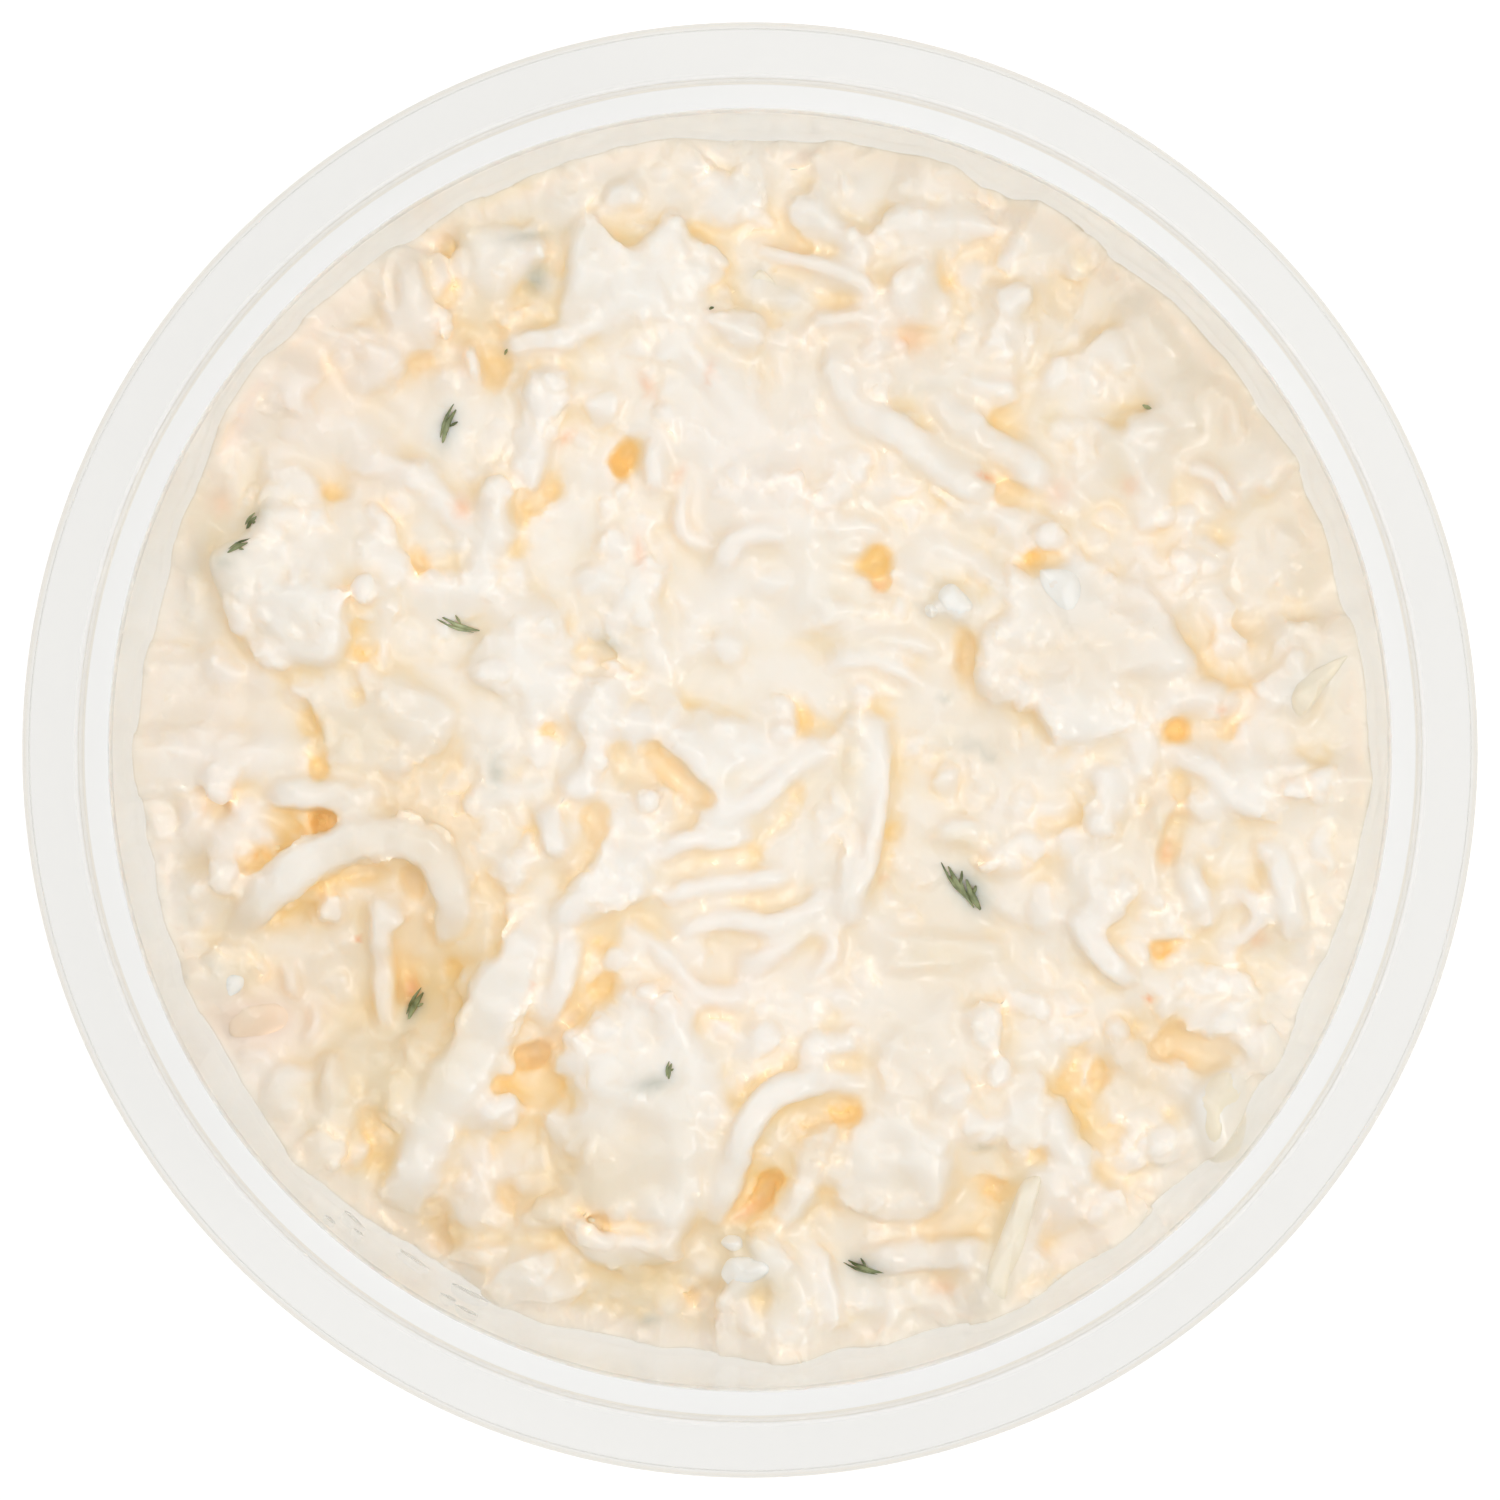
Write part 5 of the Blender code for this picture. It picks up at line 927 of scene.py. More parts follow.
def mound(rise, *edge, foot=2.2, ground=top_level, size=1.0, sunk=0.0):
    """A low lump with a rounded rim of uneven width: a ball pressed into the shape of an outline."""
    outline = outline_through(edge, 5)
    count = len(outline)
    middle = sum(outline, Vector((0.0, 0.0))) / count
    crown = sum(ground(place.x, place.y) for place in outline[::5]) * 5 / count
    bm = bmesh.new()
    bmesh.ops.create_uvsphere(bm, u_segments=count, v_segments=16, radius=1.0)
    for vert in bm.verts:
        share = math.hypot(vert.co.x, vert.co.y)
        turn = math.atan2(vert.co.y, vert.co.x) / math.tau
        reach = (outline[round(turn * count) % count] - middle) * size
        place = middle + reach * share
        spot = Vector((place.x, place.y, rise))
        rim = rise * max(RIM_WIDTH + RIM_WAVER * noise.noise(spot / RIM_SPAN), 0.4) + 0.2
        from_rim = (1 - share) * reach.length / max(rim, LEAST_RIM)
        height = math.sqrt(1 - (1 - min(max(from_rim, 0.0), 1.0)) ** 2)
        level = 0.5 * (crown + ground(place.x, place.y)) - sunk
        level += (rise if vert.co.z > 0 else -foot) * height
        level += height * waves_at(spot, MOUND_WAVES)
        vert.co = Vector((place.x, place.y, eased(level, HIGHEST, EASE_ROOM))) * MM
    return bm


def bed():
    """A thick round slab whose top is the salad's bed. It reaches past the wall, to be cut there."""
    bm = bmesh.new()
    outer = wall_radius(LEDGE_LEVEL) + OVERHANG
    bmesh.ops.create_circle(
        bm, cap_ends=True, segments=SLAB_STEPS, radius=outer * MM,
        matrix=Matrix.Translation((0, 0, SLAB_FOOT * MM)),
    )
    edges = bm.edges[:]
    for i in range(SLAB_RINGS):
        reach = outer * math.sqrt(1.0 - i / SLAB_RINGS)
        grown = bmesh.ops.extrude_edge_only(bm, edges=edges)["geom"]
        for vert in (g for g in grown if isinstance(g, bmesh.types.BMVert)):
            angle = math.atan2(vert.co.y, vert.co.x)
            x = reach * math.cos(angle)
            y = reach * math.sin(angle)
            vert.co = Vector((x, y, top_level(x, y) - BED_SINK)) * MM
        edges = [g for g in grown if isinstance(g, bmesh.types.BMEdge) and g.is_boundary]
    bmesh.ops.contextual_create(bm, geom=edges)
    bmesh.ops.triangulate(bm, faces=bm.faces)
    bmesh.ops.recalc_face_normals(bm, faces=bm.faces)
    return bm


def loose_pieces(rng):
    """Shreds and crumbs that fill the pile, sunk deeper where a smooth pool or a named piece lies."""
    named = [place for _, *edge in MOUNDS for place in edge[::3]]
    named += [place for _, _, _, *places in STRANDS for place in places]
    named += [(x, y) for x, y, *_ in LUMPS]

    def spot():
        angle = rng.uniform(0, math.tau)
        reach = SPREAD_RADIUS * math.sqrt(rng.random())
        return reach * math.cos(angle), reach * math.sin(angle)

    def depth_at(x, y):
        pool = min(in_oval(x, y, oval) for oval in POOLS)
        near = min(math.dist((x, y), other) for other in named)
        return (SINK_IN_POOL if pool < 1 else 0.0) + (SINK_NEAR_NAMED if near < NEAR_NAMED else 0.0)

    for _ in range(SHREDS):
        x, y = spot()
        length = rng.uniform(*SHRED_LENGTHS)
        turn = rng.uniform(0, math.pi)
        bow = rng.uniform(*SHRED_BOWS)
        width = rng.uniform(*SHRED_WIDTHS)
        run = Vector((math.cos(turn), math.sin(turn)))
        side = Vector((-run.y, run.x))
        middle = Vector((x, y))
        places = (middle - run * length / 2, middle + side * bow, middle + run * length / 2)
        yield strand(
            width, width * rng.uniform(*SHRED_DEPTH_SHARES), rng.uniform(*SHRED_LIFTS), *places,
            sink=depth_at(x, y), tilt=rng.uniform(*SHRED_TILTS), ragged=0.4,
        )
    for _ in range(CRUMBS):
        x, y = spot()
        half_length = rng.uniform(*CRUMB_HALF_LENGTHS)
        yield lump(
            x, y, half_length, half_length * rng.uniform(*CRUMB_WIDTH_SHARES), rng.uniform(0, 180),
            rng.uniform(*CRUMB_LIFTS) - CRUMB_SINK_SHARE * depth_at(x, y), dents=0.5,
        )


def as_one(parts):
    """Several bmeshes put in one, and freed."""
    whole = bmesh.new()
    for bm in parts:
        mesh = mesh_from(bm, "part")
        whole.from_mesh(mesh)
        bpy.data.meshes.remove(mesh)
    return whole


def worked(mesh, *steps):
    """The mesh after some modifiers, each given by its kind and settings."""
    holder = bpy.data.objects.new("worked", mesh)
    bpy.context.scene.collection.objects.link(holder)
    for kind, settings in steps:
        modifier = holder.modifiers.new(kind, kind)
        for key, value in settings.items():
            setattr(modifier, key, value)
    bpy.context.view_layer.update()
    graph = bpy.context.evaluated_depsgraph_get()
    made = bpy.data.meshes.new_from_object(holder.evaluated_get(graph))
    bpy.data.objects.remove(holder)
    bpy.data.meshes.remove(mesh)
    return made


def places_of(mesh):
    """Every vertex of a mesh, in millimetres."""
    flat = np.empty(len(mesh.vertices) * 3)
    mesh.vertices.foreach_get("co", flat)
    return flat.reshape(-1, 3) / MM


def put_places(mesh, places):
    """Moves every vertex of a mesh to its place, in millimetres."""
    mesh.vertices.foreach_set("co", (places * MM).ravel())
    mesh.update()


def depth_inside(points, outline):
    """How far each point lies inside a closed outline, below zero outside it."""
    nearest = np.full(len(points), np.inf)
    inside = np.zeros(len(points), bool)
    for start, end in zip(outline, outline[1:] + outline[:1]):
        run = np.array(end - start)
        from_start = points - np.array(start)
        share = np.clip(from_start @ run / max(run @ run, 1e-9), 0, 1)
        gap = from_start - share[:, None] * run
        nearest = np.minimum(nearest, np.hypot(gap[:, 0], gap[:, 1]))
        crosses = (start.y > points[:, 1]) != (end.y > points[:, 1])
        slope = run[0] / run[1] if abs(run[1]) > 1e-9 else 0.0
        inside ^= crosses & (from_start[:, 0] < from_start[:, 1] * slope)
    return np.where(inside, nearest, -nearest)


def depth_near(places, edge, margin):
    """Which places lie within a margin of an outline's box, and how deep each lies inside the outline."""
    low = np.min(edge, axis=0) - margin
    high = np.max(edge, axis=0) + margin
    near = np.all((places[:, :2] > low) & (places[:, :2] < high), axis=1)
    return near, depth_inside(places[near, :2], outline_through(edge, 4))


def press_pockets(mesh):
    """Presses the pockets into the pile, steep at their edge and deepest in their middle."""
    places = places_of(mesh)
    for depth, *edge in POCKETS:
        near, away = depth_near(places, edge, 1.0)
        away += [POCKET_WAVER * noise.noise(Vector((x, y, depth)) / 1.1) for x, y, _ in places[near]]
        push = np.clip(away / POCKET_EDGE + 0.35, 0, 1)
        push = np.where(places[near, 2] > SLAB_FOOT + 3, push, 0.0)
        floor = 0.5 + 0.5 * np.clip(away / POCKET_MIDDLE, 0, 1)
        places[near, 2] -= push * push * (3 - 2 * push) * depth * POCKET_DEPTH * floor
    put_places(mesh, places)


def soft_ovals(places, rows):
    """How strongly some soft ovals cover each place."""
    cover = np.zeros(len(places))
    for *oval, strength in rows:
        cover = np.maximum(cover, strength * np.exp(-in_oval(places[:, 0], places[:, 1], oval) ** 2))
    return cover


def pocket_and_fold_shade(places):
    """How far each place lies in a pocket or a shaded fold, from 0 on its edge to 1 in its middle, for the
    painted shade there.
    """
    share = soft_ovals(places, SHADED_FOLDS)
    for depth, *edge in POCKETS:
        near, away = depth_near(places, edge, 0.0)
        middle = np.clip(away / POCKET_MIDDLE, 0, 1) * min(depth / DEEPEST_POCKET, 1.0)
        share[near] = np.maximum(share[near], middle)
    return share


def topping_share(places):
    """How near each place lies to a topping: 1 under it, 0 from about a millimetre away."""
    share = np.zeros(len(places))
    for _, *edge in EGG_WHITE + BARE_CHEESE + (CARROT,):
        near, away = depth_near(places, edge, TOPPING_MARGIN)
        share[near] = np.maximum(share[near], np.clip(1.0 + away / TOPPING_NEARNESS, 0, 1))
    return share


def remesh_step(voxel):
    """A modifier that melts what overlaps into one skin."""
    return "REMESH", {"mode": "VOXEL", "voxel_size": voxel * MM, "use_smooth_shade": True}


def swell_step(amount):
    """A modifier that swells a skin, or thins it where the amount is below zero."""
    return "DISPLACE", {"strength": amount * MM, "mid_level": 0.0, "direction": "NORMAL"}


def smooth_step(times):
    """A modifier that evens out a skin."""
    return "SMOOTH", {"factor": 0.5, "iterations": times}


def coated_pile():
    """The bed and all that lies on it, melted into one skin and coated with dressing."""
    rng = random.Random(SEED)
    parts = [bed()]
    parts += [mound(*row) for row in MOUNDS + EGG_WHITE + BARE_CHEESE + (CARROT,)]
    parts += [strand(*row) for row in STRANDS]
    parts += [lump(*row) for row in LUMPS]
    parts += loose_pieces(rng)
    pile = worked(mesh_from(as_one(parts), "pile"), remesh_step(PILE_VOXEL), smooth_step(1))
    press_pockets(pile)
    return worked(
        pile,
        remesh_step(PILE_VOXEL),
        swell_step(COAT),
        remesh_step(SKIN_VOXEL),
        swell_step(-COAT),
        smooth_step(SMOOTHINGS),
    )


def curd(at, cell, seed):
    """Height from 0 to 1 of round curds strewn by chance, one at most in each cell."""
    spot = at / cell + Vector((seed, seed, seed))
    spot += CURD_WAVER * noise.noise_vector(spot * 1.3)
    distances, centres = noise.voronoi(spot)
    chance = noise.cell(centres[0] * 7.3)
    radius = CURD_RADIUS + CURD_RADIUS_SPREAD * abs(chance)
    inside = 1.0 - (distances[0] / radius) ** 2
    if inside <= 0 or chance <= CURD_CHANCE:
        return 0.0
    return math.sqrt(inside) * (0.5 + 0.5 * abs(chance))


def strand_places():
    """A search tree of places along the strands, at level 0."""
    shares = [i / STRAND_SPOTS for i in range(STRAND_SPOTS + 1)]
    spots = [curve_through(places, share) for _, _, _, *places in STRANDS for share in shares]
    tree = KDTree(len(spots))
    for i, spot in enumerate(spots):
        tree.insert((spot.x, spot.y, 0.0), i)
    tree.balance()
    return tree


def add_grain(mesh):
    """Curds and dimples of the dressing, too fine to lay out one by one."""
    places = places_of(mesh)
    ways = np.empty(len(mesh.vertices) * 3)
    mesh.vertices.foreach_get("normal", ways)
    ways = ways.reshape(-1, 3)
    calm = np.ones(len(places))
    for oval in POOLS:
        calm = np.minimum(calm, 0.4 + 0.6 * np.clip(in_oval(places[:, 0], places[:, 1], oval) - 0.4, 0, 1))
    for _, *edge in EGG_WHITE + BARE_CHEESE + (CARROT,):
        away = depth_inside(places[:, :2], outline_through(edge, 3))
        calm = np.minimum(calm, np.clip(-away, 0.05, 1))
    lines = strand_places()
    for i, place in enumerate(places):
        if place[2] > SLAB_FOOT + 4 and ways[i, 2] > -0.1:
            at = Vector(place)
            on_strand = lines.find((at.x, at.y, 0.0))[2] < ON_STRAND
            rise = sum(height * curd(at, cell, cell) for height, cell in CURDS)
            rise *= CURDS_ON_STRAND if on_strand else 1.0
            rise += waves_at(at, DIMPLES)
            places[i] += ways[i] * rise * calm[i]
    put_places(mesh, places)


def tub_mould():
    """The room inside the tub that salad can fill, a hair into the wall."""
    corner = (wall_radius(BASE_CORNER) + WALL - BASE_CORNER, BASE_CORNER)
    points = [
        (0.0, FLOOR_LEVEL - FLOOR_BITE),
        (RING_INNER_RADIUS + EDGE_ROUND - PANEL_RISE, FLOOR_LEVEL - FLOOR_BITE),
        (RING_INNER_RADIUS + EDGE_ROUND, WALL - FLOOR_BITE),
    ]
    points += arc(corner, BASE_CORNER - WALL + WALL_BITE, -90, BASE_TURN_END, 6)
    for i in range(MOULD_STEPS + 1):
        level = MOULD_WALL_FOOT + (LEDGE_LEVEL - MOULD_WALL_FOOT) * i / MOULD_STEPS
        points.append((wall_radius(level) + WALL_BITE, level))
    points.append((0.0, LEDGE_LEVEL))
    return mesh_from(turned(points, TUB_STEPS), "mould")


def salad_block():
    """A plain block below the pile, wider than the tub."""
    bm = bmesh.new()
    bmesh.ops.create_cone(
        bm, cap_ends=True, segments=BLOCK_STEPS, depth=BLOCK_HEIGHT * MM,
        radius1=BLOCK_RADIUS * MM, radius2=BLOCK_RADIUS * MM,
        matrix=Matrix.Translation((0, 0, (BLOCK_TOP - BLOCK_HEIGHT / 2) * MM)),
    )
    return mesh_from(bm, "block")


def combine(mesh, other, operation):
    """Joins, cuts or keeps the common part of two closed meshes."""
    tool = bpy.data.objects.new("tool", other)
    bpy.context.scene.collection.objects.link(tool)
    made = worked(mesh, ("BOOLEAN", {"operation": operation, "object": tool, "solver": "MANIFOLD"}))
    bpy.data.objects.remove(tool)
    bpy.data.meshes.remove(other)
    return made


def salad_mass():
    """The whole salad: the coated pile on a plain body, shaped by the tub."""
    skin = coated_pile()
    add_grain(skin)
    spare = len(tub_mould().polygons) * 2
    share = (MOST_TRIANGLES - spare) / (len(skin.polygons) * 2 * LEFT_BY_CUTS)
    if share < 1:
        skin = worked(skin, ("DECIMATE", {"ratio": share}))
    mass = combine(skin, salad_block(), "UNION")
    return combine(mass, tub_mould(), "INTERSECT")


def blurred(grid, radius):
    """A grid smoothed over a radius in cells."""
    rows = np.fft.fftfreq(grid.shape[0])[:, None]
    columns = np.fft.rfftfreq(grid.shape[1])[None, :]
    soft = np.exp(-2 * (math.pi * radius) ** 2 * (rows ** 2 + columns ** 2))
    return np.fft.irfft2(np.fft.rfft2(grid) * soft, s=grid.shape)


def level_map(places):
    """The highest level in each small square of the top, gaps filled from what is near."""
    grid = np.full((2 * MAP_HALF, 2 * MAP_HALF), -1.0)
    column = np.clip((places[:, 0] / MAP_CELL + MAP_HALF).astype(int), 0, 2 * MAP_HALF - 1)
    row = np.clip((places[:, 1] / MAP_CELL + MAP_HALF).astype(int), 0, 2 * MAP_HALF - 1)
    np.maximum.at(grid, (row, column), places[:, 2])
    known = grid > LOWEST_TOP
    weight = blurred(known.astype(float), GAP_BLUR)
    filled = blurred(np.where(known, grid, 0.0), GAP_BLUR) / np.maximum(weight, 1e-6)
    levels = np.where(known, grid, np.where(weight > 0.02, filled, UNKNOWN_LEVEL))
    y, x = (np.indices(grid.shape) - MAP_HALF) * MAP_CELL
    inward = np.minimum(1.0, MAP_REACH / np.maximum(np.hypot(x, y), 1e-6))
    inner_row = (y * inward / MAP_CELL + MAP_HALF).astype(int)
    inner_column = (x * inward / MAP_CELL + MAP_HALF).astype(int)
    return levels[inner_row, inner_column], row, column


def shut_in(levels):
    """How much of the sky each square of the top doesn't see, from 0 to 1."""
    seen = np.zeros_like(levels)
    for way in range(LOOK_WAYS):
        angle = math.tau * way / LOOK_WAYS
        horizon = np.zeros_like(levels)
        for reach in LOOK_REACHES:
            rows = -round(reach * math.sin(angle) / MAP_CELL)
            columns = -round(reach * math.cos(angle) / MAP_CELL)
            beyond = np.roll(levels, (rows, columns), axis=(0, 1))
            horizon = np.maximum(horizon, (beyond - levels) / reach)
        seen += 1.0 / (1.0 + horizon ** 2)
    return 1.0 - seen / LOOK_WAYS


def give_value(mesh, name, values):
    """A named value at each vertex, for the material."""
    layer = mesh.attributes.new(name, "FLOAT", "POINT")
    layer.data.foreach_set("value", values.astype(np.float32))


def mark_shade_and_tints(mesh):
    """Stores how shut in and how low each place lies, for the painted shade in the dressing's colour, and
    what shows through the dressing there.
    """
    places = places_of(mesh)
    level = places[:, 2]
    normals = np.empty(3 * len(places))
    mesh.vertex_normals.foreach_get("vector", normals)
    levels, row, column = level_map(places)
    reach = np.hypot(places[:, 0], places[:, 1])
    from_wall = wall_radius(level) - reach
    at_wall = from_wall < WALL_SKIN
    on_top = levels[row, column] - level < np.where(at_wall, TOP_DEPTH_AT_WALL, TOP_DEPTH)
    inner = np.clip((FADE_END - reach) / MAP_FADE, 0.0, 1.0)

    # Painted shade: the part of the sky each place doesn't see, and below how low and how slanted it lies,
    # darken and warm the dressing's colour.
    closed = blurred(shut_in(blurred(levels, SHUT_BLUR)), SHUT_BLUR)[row, column]
    closed = np.where(at_wall, np.clip(closed, *WALL_SHUT_IN), closed)
    closed = EDGE_SHUT_IN + (closed - EDGE_SHUT_IN) * inner
    give_value(mesh, "shut_in", np.where(on_top, closed, SIDE_SHUT_IN))
    by_wall = np.clip(1.0 - from_wall / WALL_NEARNESS, 0, 1)
    give_value(mesh, "beside_other", np.maximum(topping_share(places), by_wall))

    low_lying = blurred(levels, BROAD_RADIUS / MAP_CELL)[row, column] - level
    low_beside = np.clip(blurred(levels, NEAR_RADIUS / MAP_CELL)[row, column] - level, *LOW_BESIDE)
    slant = np.clip((1.0 - normals[2::3]) / FULL_SLANT, 0.0, 1.0)
    for name, values in (
        ("pocket_shade", pocket_and_fold_shade(places)), ("low_lying", low_lying), ("low_beside", low_beside),
        ("on_slope", slant),
    ):
        give_value(mesh, name, np.where(on_top, values * inner, 0.0))
    # The tints: the dressing's own tones, partly painted light and shade in the pale, beige, yellow and
    # orange ones.
    for name, ovals, _, _ in TINTS:
        give_value(mesh, name, np.where(on_top, soft_ovals(places, ovals), 0.0))


def new_finish(name):
    """A material and its three node lists."""
    finish = bpy.data.materials.new(name)
    finish.use_nodes = True
    tree = finish.node_tree
    return finish, tree.nodes, tree.links


def value_of(nodes, name):
    """What a mesh stores under a name."""
    node = nodes.new("ShaderNodeAttribute")
    node.attribute_name = name
    return node.outputs["Fac"]


def noise_of(nodes, links, scale, detail):
    """A noise pattern on the object's own coordinates."""
    coords = nodes.new("ShaderNodeTexCoord")
    pattern = nodes.new("ShaderNodeTexNoise")
    pattern.inputs["Scale"].default_value = scale
    pattern.inputs["Detail"].default_value = detail
    links.new(coords.outputs["Object"], pattern.inputs["Vector"])
    return pattern.outputs["Fac"]


def plus_share(nodes, links, value, share, base):
    """A value times a share, plus a base."""
    node = nodes.new("ShaderNodeMath")
    node.operation = "MULTIPLY_ADD"
    links.new(value, node.inputs[0])
    node.inputs[1].default_value = share
    if isinstance(base, float):
        node.inputs[2].default_value = base
    else:
        links.new(base, node.inputs[2])
    return node.outputs[0]


def ramp_of(nodes, links, value, stops):
    """Colours picked along a value."""
    ramp = nodes.new("ShaderNodeValToRGB")
    first, *middle, last = stops
    for element, (position, colour) in zip(ramp.color_ramp.elements, (first, last)):
        element.position = position
        element.color = (*colour, 1)
    for position, colour in middle:
        ramp.color_ramp.elements.new(position).color = (*colour, 1)
    links.new(value, ramp.inputs["Fac"])
    return ramp.outputs["Color"]


def tinted(nodes, links, colour, share, tint):
    """A colour mixed with a tint by a share."""
    mix = nodes.new("ShaderNodeMix")
    mix.data_type = "RGBA"
    mix.clamp_factor = True
    links.new(share, mix.inputs["Factor"])
    links.new(colour, mix.inputs["A"])
    mix.inputs["B"].default_value = (*tint, 1)
    return mix.outputs["Result"]


def bumped(nodes, links, height, strength, distance):
    """A fine relief for a shader."""
    bump = nodes.new("ShaderNodeBump")
    bump.inputs["Strength"].default_value = strength
    bump.inputs["Distance"].default_value = distance
    links.new(height, bump.inputs["Height"])
    return bump.outputs["Normal"]


def salad_finish():
    """Creamy dressing over cheese, with painted shade: pale on the ridges, peach in the folds, orange in
    the pockets, by how shut in and low each place lies.
    """
    finish, nodes, links = new_finish("creamy_salad")
    shader = nodes["Principled BSDF"]
    shader.subsurface_method = "BURLEY"
    shader.inputs["Roughness"].default_value = 0.28
    glow = plus_share(nodes, links, value_of(nodes, "beside_other"), -0.95, 0.95)
    links.new(glow, shader.inputs["Subsurface Weight"])
    shader.inputs["Subsurface Radius"].default_value = (1.0, 0.58, 0.34)
    shader.inputs["Subsurface Scale"].default_value = 0.0015
    shader.inputs["Specular IOR Level"].default_value = 0.55

    # Painted shade: the depth below is how shut in, low, slanted and deep in a pocket or fold each place
    # lies, plus noise for the dressing's own uneven tone; the ramp turns it peach and orange.
    depth = plus_share(nodes, links, noise_of(nodes, links, 140.0, 3.0), PATCH_SHARE, 0.0)
    for name, share in SHADE_SHARES:
        depth = plus_share(nodes, links, value_of(nodes, name), share, depth)
    colour = ramp_of(nodes, links, depth, DRESSING_SHADE_COLOURS)
    # The tints, partly painted light and shade as well as the dressing's own tones.
    for name, _, share, tint in TINTS:
        amount = plus_share(nodes, links, value_of(nodes, name), share, 0.0)
        colour = tinted(nodes, links, colour, amount, tint)
    links.new(colour, shader.inputs["Base Color"])
    grain = noise_of(nodes, links, 1500.0, 2.0)
    links.new(bumped(nodes, links, grain, 0.3, 0.00006), shader.inputs["Normal"])
    return finish


def clear_finish():
    """Clear moulded plastic, faintly warm, with painted dark lines on its rounded edges. It lets the lamps
    through, as a thin clear wall does.
    """
    finish, nodes, links = new_finish("clear_plastic")
    shader = nodes["Principled BSDF"]
    tint_and_edge_line = value_of(nodes, "tint_and_edge_line")
    links.new(ramp_of(nodes, links, tint_and_edge_line, PLASTIC_TINTS_AND_EDGE_LINES), shader.inputs["Base Color"])
    links.new(plus_share(nodes, links, tint_and_edge_line, 0.12, 0.45), shader.inputs["Alpha"])
    shader.inputs["Transmission Weight"].default_value = 1.0
    shader.inputs["Roughness"].default_value = 0.03
    shader.inputs["IOR"].default_value = 1.36
    passing = nodes.new("ShaderNodeBsdfTransparent")
    passing.inputs["Color"].default_value = (0.98, 0.98, 0.97, 1)
    rays = nodes.new("ShaderNodeLightPath")
    mix = nodes.new("ShaderNodeMixShader")
    links.new(rays.outputs["Is Shadow Ray"], mix.inputs[0])
    links.new(shader.outputs["BSDF"], mix.inputs[1])
    links.new(passing.outputs["BSDF"], mix.inputs[2])
    links.new(mix.outputs[0], nodes["Material Output"].inputs["Surface"])
    return finish


def moist_finish(name, colour, mottle, *, scale, roughness, glow):
    """A moist finish of one colour, mottled by a fine pattern, into which some light sinks."""
    finish, nodes, links = new_finish(name)
    shader = nodes["Principled BSDF"]
    shader.subsurface_method = "BURLEY"
    shader.inputs["Roughness"].default_value = roughness
    shader.inputs["Subsurface Weight"].default_value = glow
    shader.inputs["Subsurface Radius"].default_value = (1.0, 0.7, 0.5)
    shader.inputs["Subsurface Scale"].default_value = 0.00025
    pattern = noise_of(nodes, links, scale, 3.0)
    links.new(ramp_of(nodes, links, pattern, ((0.3, colour), (0.7, mottle))), shader.inputs["Base Color"])
    links.new(bumped(nodes, links, pattern, 0.3, 0.0001), shader.inputs["Normal"])
    return finish


def build_tub():
    """The clear tub, in finer steps than its solid."""
    mesh = mesh_from(turned(tub_section(), TUB_STEPS), "clear_tub")
    places = places_of(mesh)
    reach = np.hypot(places[:, 0], places[:, 1])
    # The plastic's tint by place, with the painted dark lines on its rounded edges.
    tint_and_edge_line = np.zeros(len(places))
    for low, high, share in TINT_RINGS:
        tint_and_edge_line[(reach > low) & (reach < high) & (places[:, 2] > TINT_FROM)] = share
    give_value(mesh, "tint_and_edge_line", tint_and_edge_line)
    tub = piece_from(mesh, "clear_tub", clear_finish(), "clear_tub", corner=35.0)
    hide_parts("tub")


def build_salad():
    """The salad mass, with what its colour follows."""
    mesh = salad_mass()
    mark_shade_and_tints(mesh)
    salad = piece_from(mesh, "salad_mass", salad_finish(), "cream_salad")
    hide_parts("cheese_salad")
    return mesh


def surface_of(mesh):
    """A function that gives the level of a mesh's top at a place."""
    tree = BVHTree.FromPolygons(
        [vert.co for vert in mesh.vertices], [face.vertices for face in mesh.polygons],
    )

    def level(x, y):
        hit = tree.ray_cast(Vector((x * MM, y * MM, TUB_HEIGHT * MM)), Vector((0, 0, -1)))[0]
        return hit.z / MM if hit else CENTRE_LEVEL - 2.0

    return level


def sprig(ground, x, y, degrees, length, width):
    """A cut bit of dill: a thread of leaf, with two short side threads where it is long."""
    turn = math.radians(degrees)
    run = Vector((math.cos(turn), math.sin(turn)))
    side = Vector((-run.y, run.x))
    middle = Vector((x, y))

    def thread(size, height, rise, places, point, ragged=0.5):
        return strand(
            width * size, width * height, width * rise, *places, ground=ground, ragged=ragged, point=point,
        )

    leaf = (middle - run * length / 2, middle + side * length * 0.06, middle + run * length / 2)
    threads = [thread(0.8, 0.6, 0.4, leaf, 0.15)]
    if length > 1.0:
        beside = [place + side * width * 0.5 + run * length * 0.12 for place in leaf]
        fork = (middle, middle + run * length * 0.2 - side * length * 0.16)
        threads.append(thread(0.5, 0.4, 0.3, beside, 0.1))
        threads.append(thread(0.4, 0.4, 0.3, fork, 0.2, ragged=0.34))
    return as_one(threads)


def topping(ground, edge):
    """A bit of food in the shape of an outline, laid in the salad's top."""
    return mound(
        TOPPING_RISE, *edge, foot=TOPPING_FOOT, ground=ground, size=TOPPING_SIZE, sunk=TOPPING_SINK,
    )


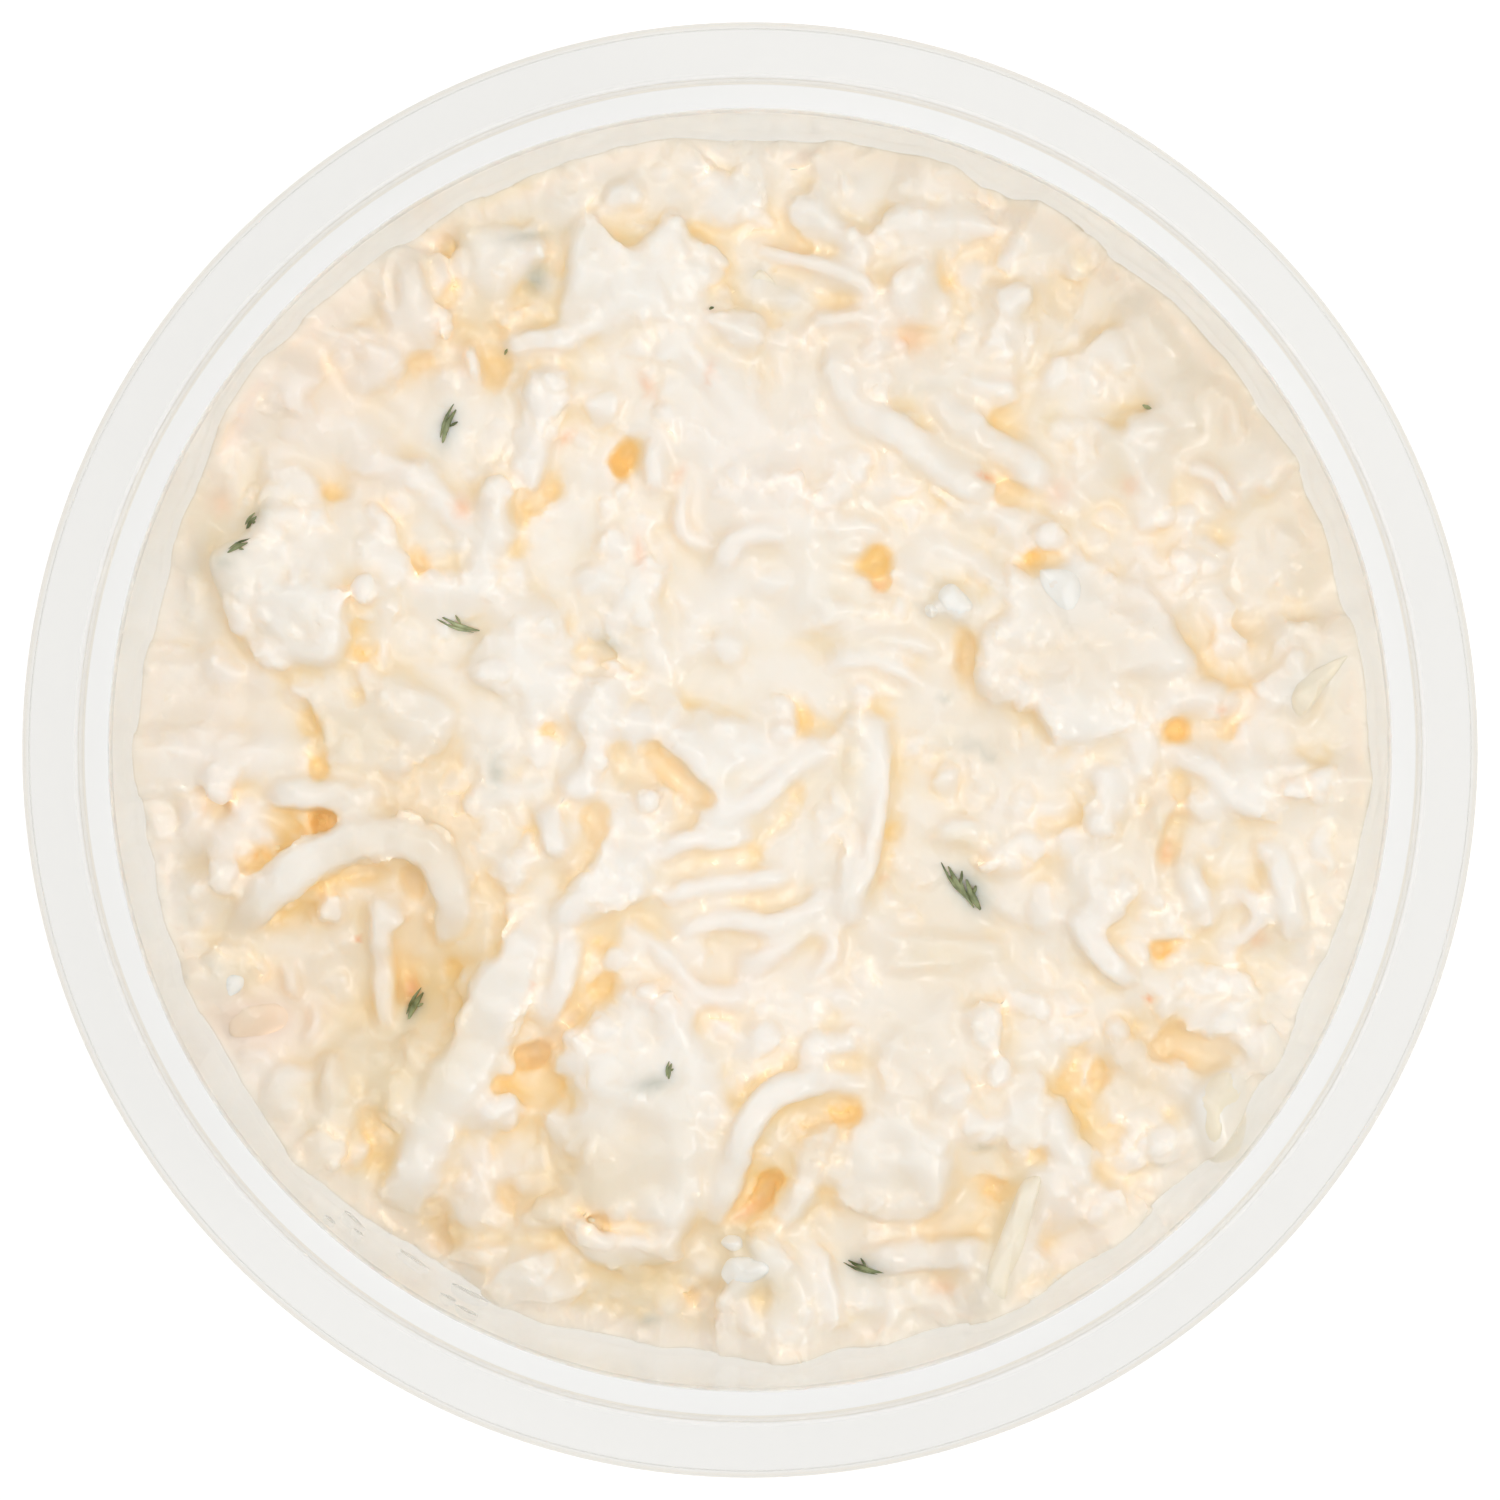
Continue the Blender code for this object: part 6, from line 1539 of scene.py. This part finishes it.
def build_toppings(ground):
    """Egg white, bare cheese, carrot and dill, laid in the salad's top."""
    egg = moist_finish(
        "boiled_egg_white", (1.0, 0.965, 0.89), (1.0, 0.985, 0.93), scale=220.0, roughness=0.38, glow=0.8,
    )
    cheese = moist_finish(
        "bare_cheese", (1.0, 0.92, 0.77), (0.99, 0.89, 0.70), scale=320.0, roughness=0.34, glow=0.8,
    )
    carrot = moist_finish(
        "cooked_carrot", (1.0, 0.77, 0.57), (1.0, 0.83, 0.65), scale=260.0, roughness=0.40, glow=0.9,
    )
    dill = moist_finish(
        "wet_dill", (0.065, 0.09, 0.02), (0.42, 0.46, 0.24), scale=700.0, roughness=0.30, glow=0.2,
    )
    for name, rows, finish, slot in (
        ("egg_white", EGG_WHITE, egg, "egg_white"),
        ("bare_cheese", BARE_CHEESE, cheese, "pale_cheese"),
        ("carrot", (CARROT,), carrot, "carrot"),
    ):
        for i, (_, *edge) in enumerate(rows):
            mesh = mesh_from(topping(ground, edge), name)
            piece_from(mesh, f"{name}_{i + 1}", finish, slot)
    threads = as_one([sprig(ground, *row) for row in DILL])
    piece_from(mesh_from(threads, "dill"), "dill", dill, "dill")


def drop(degrees, level, half_length, half_height):
    """A flat dented drop that clings to the tub's wall."""
    bm = bmesh.new()
    bmesh.ops.create_icosphere(bm, subdivisions=3, radius=1.0)
    lean = Matrix.Rotation(-math.atan(DRAFT), 3, "Y")
    turn = Matrix.Rotation(math.radians(degrees), 3, "Z")
    middle = turn @ Vector((wall_radius(level), 0.0, level))
    size = Vector((DROP_HALF_THICKNESS, half_length, half_height))
    sink = Vector((DROP_SINK, 0, 0))
    for vert in bm.verts:
        dent = 1.0 + 0.5 * noise.noise(vert.co * 1.3 + middle)
        spot = lean @ (vert.co * size * dent - sink)
        vert.co = (middle + turn @ spot) * MM
    return bm


def build_drops():
    """Drops and smears of thin dressing on the wall above the salad."""
    finish = moist_finish(
        "thin_dressing", (0.84, 0.82, 0.77), (0.92, 0.90, 0.85), scale=500.0, roughness=0.25, glow=0.0,
    )
    finish.node_tree.nodes["Principled BSDF"].inputs["Alpha"].default_value = 0.35
    drops = as_one([drop(*row) for row in DROPS])
    piece_from(mesh_from(drops, "wall_drops"), "wall_drops", finish, "cream_salad")


def set_stage():
    """A plain white floor, seen as far as the camera looks."""
    bm = bmesh.new()
    bmesh.ops.create_grid(bm, x_segments=1, y_segments=1, size=FLOOR_HALF_WIDTH)
    floor = bpy.data.objects.new("floor", mesh_from(bm, "floor"))
    bpy.context.scene.collection.objects.link(floor)
    finish, nodes, _ = new_finish("white_floor")
    shader = nodes["Principled BSDF"]
    shader.inputs["Base Color"].default_value = (FLOOR_GREY, FLOOR_GREY, FLOOR_GREY, 1)
    shader.inputs["Roughness"].default_value = 0.9
    shader.inputs["Emission Color"].default_value = (1, 1, 1, 1)
    shader.inputs["Emission Strength"].default_value = FLOOR_GLOW
    floor.data.materials.append(finish)


def add_lamp(name, place, size, watts):
    """A square soft lamp that faces the tub."""
    lamp = bpy.data.lights.new(name, "AREA")
    lamp.size = size
    lamp.energy = watts
    item = bpy.data.objects.new(name, lamp)
    item.location = place
    aim = Vector(LAMP_AIM) - Vector(place)
    item.rotation_euler = aim.to_track_quat("-Z", "Y").to_euler()
    bpy.context.scene.collection.objects.link(item)


def set_light():
    """An even white surround and the lamps."""
    world = bpy.data.worlds.new("studio")
    world.use_nodes = True
    background = world.node_tree.nodes["Background"]
    background.inputs["Color"].default_value = (1, 1, 1, 1)
    background.inputs["Strength"].default_value = WORLD_STRENGTH
    bpy.context.scene.world = world
    for lamp in LAMPS:
        add_lamp(*lamp)


def set_camera():
    """Straight above the tub, as the photo was taken."""
    camera = bpy.data.cameras.new("camera")
    camera.sensor_width = CAMERA_SENSOR
    camera.lens = CAMERA_LENS
    camera.clip_start = 0.01
    item = bpy.data.objects.new("camera", camera)
    item.location = (0.0, 0.0, CAMERA_LEVEL)
    bpy.context.scene.collection.objects.link(item)
    bpy.context.scene.camera = item


def set_colour():
    """Colours shown as they are, with no film look."""
    bpy.context.scene.view_settings.view_transform = "Standard"
    bpy.context.scene.view_settings.look = "None"


# The noise that strews the curds starts from the clock unless it is given a seed.
noise.seed_set(SEED)
set_colour()
set_camera()
set_light()
set_stage()
build_tub()
salad_mesh = build_salad()
build_toppings(surface_of(salad_mesh))
build_drops()
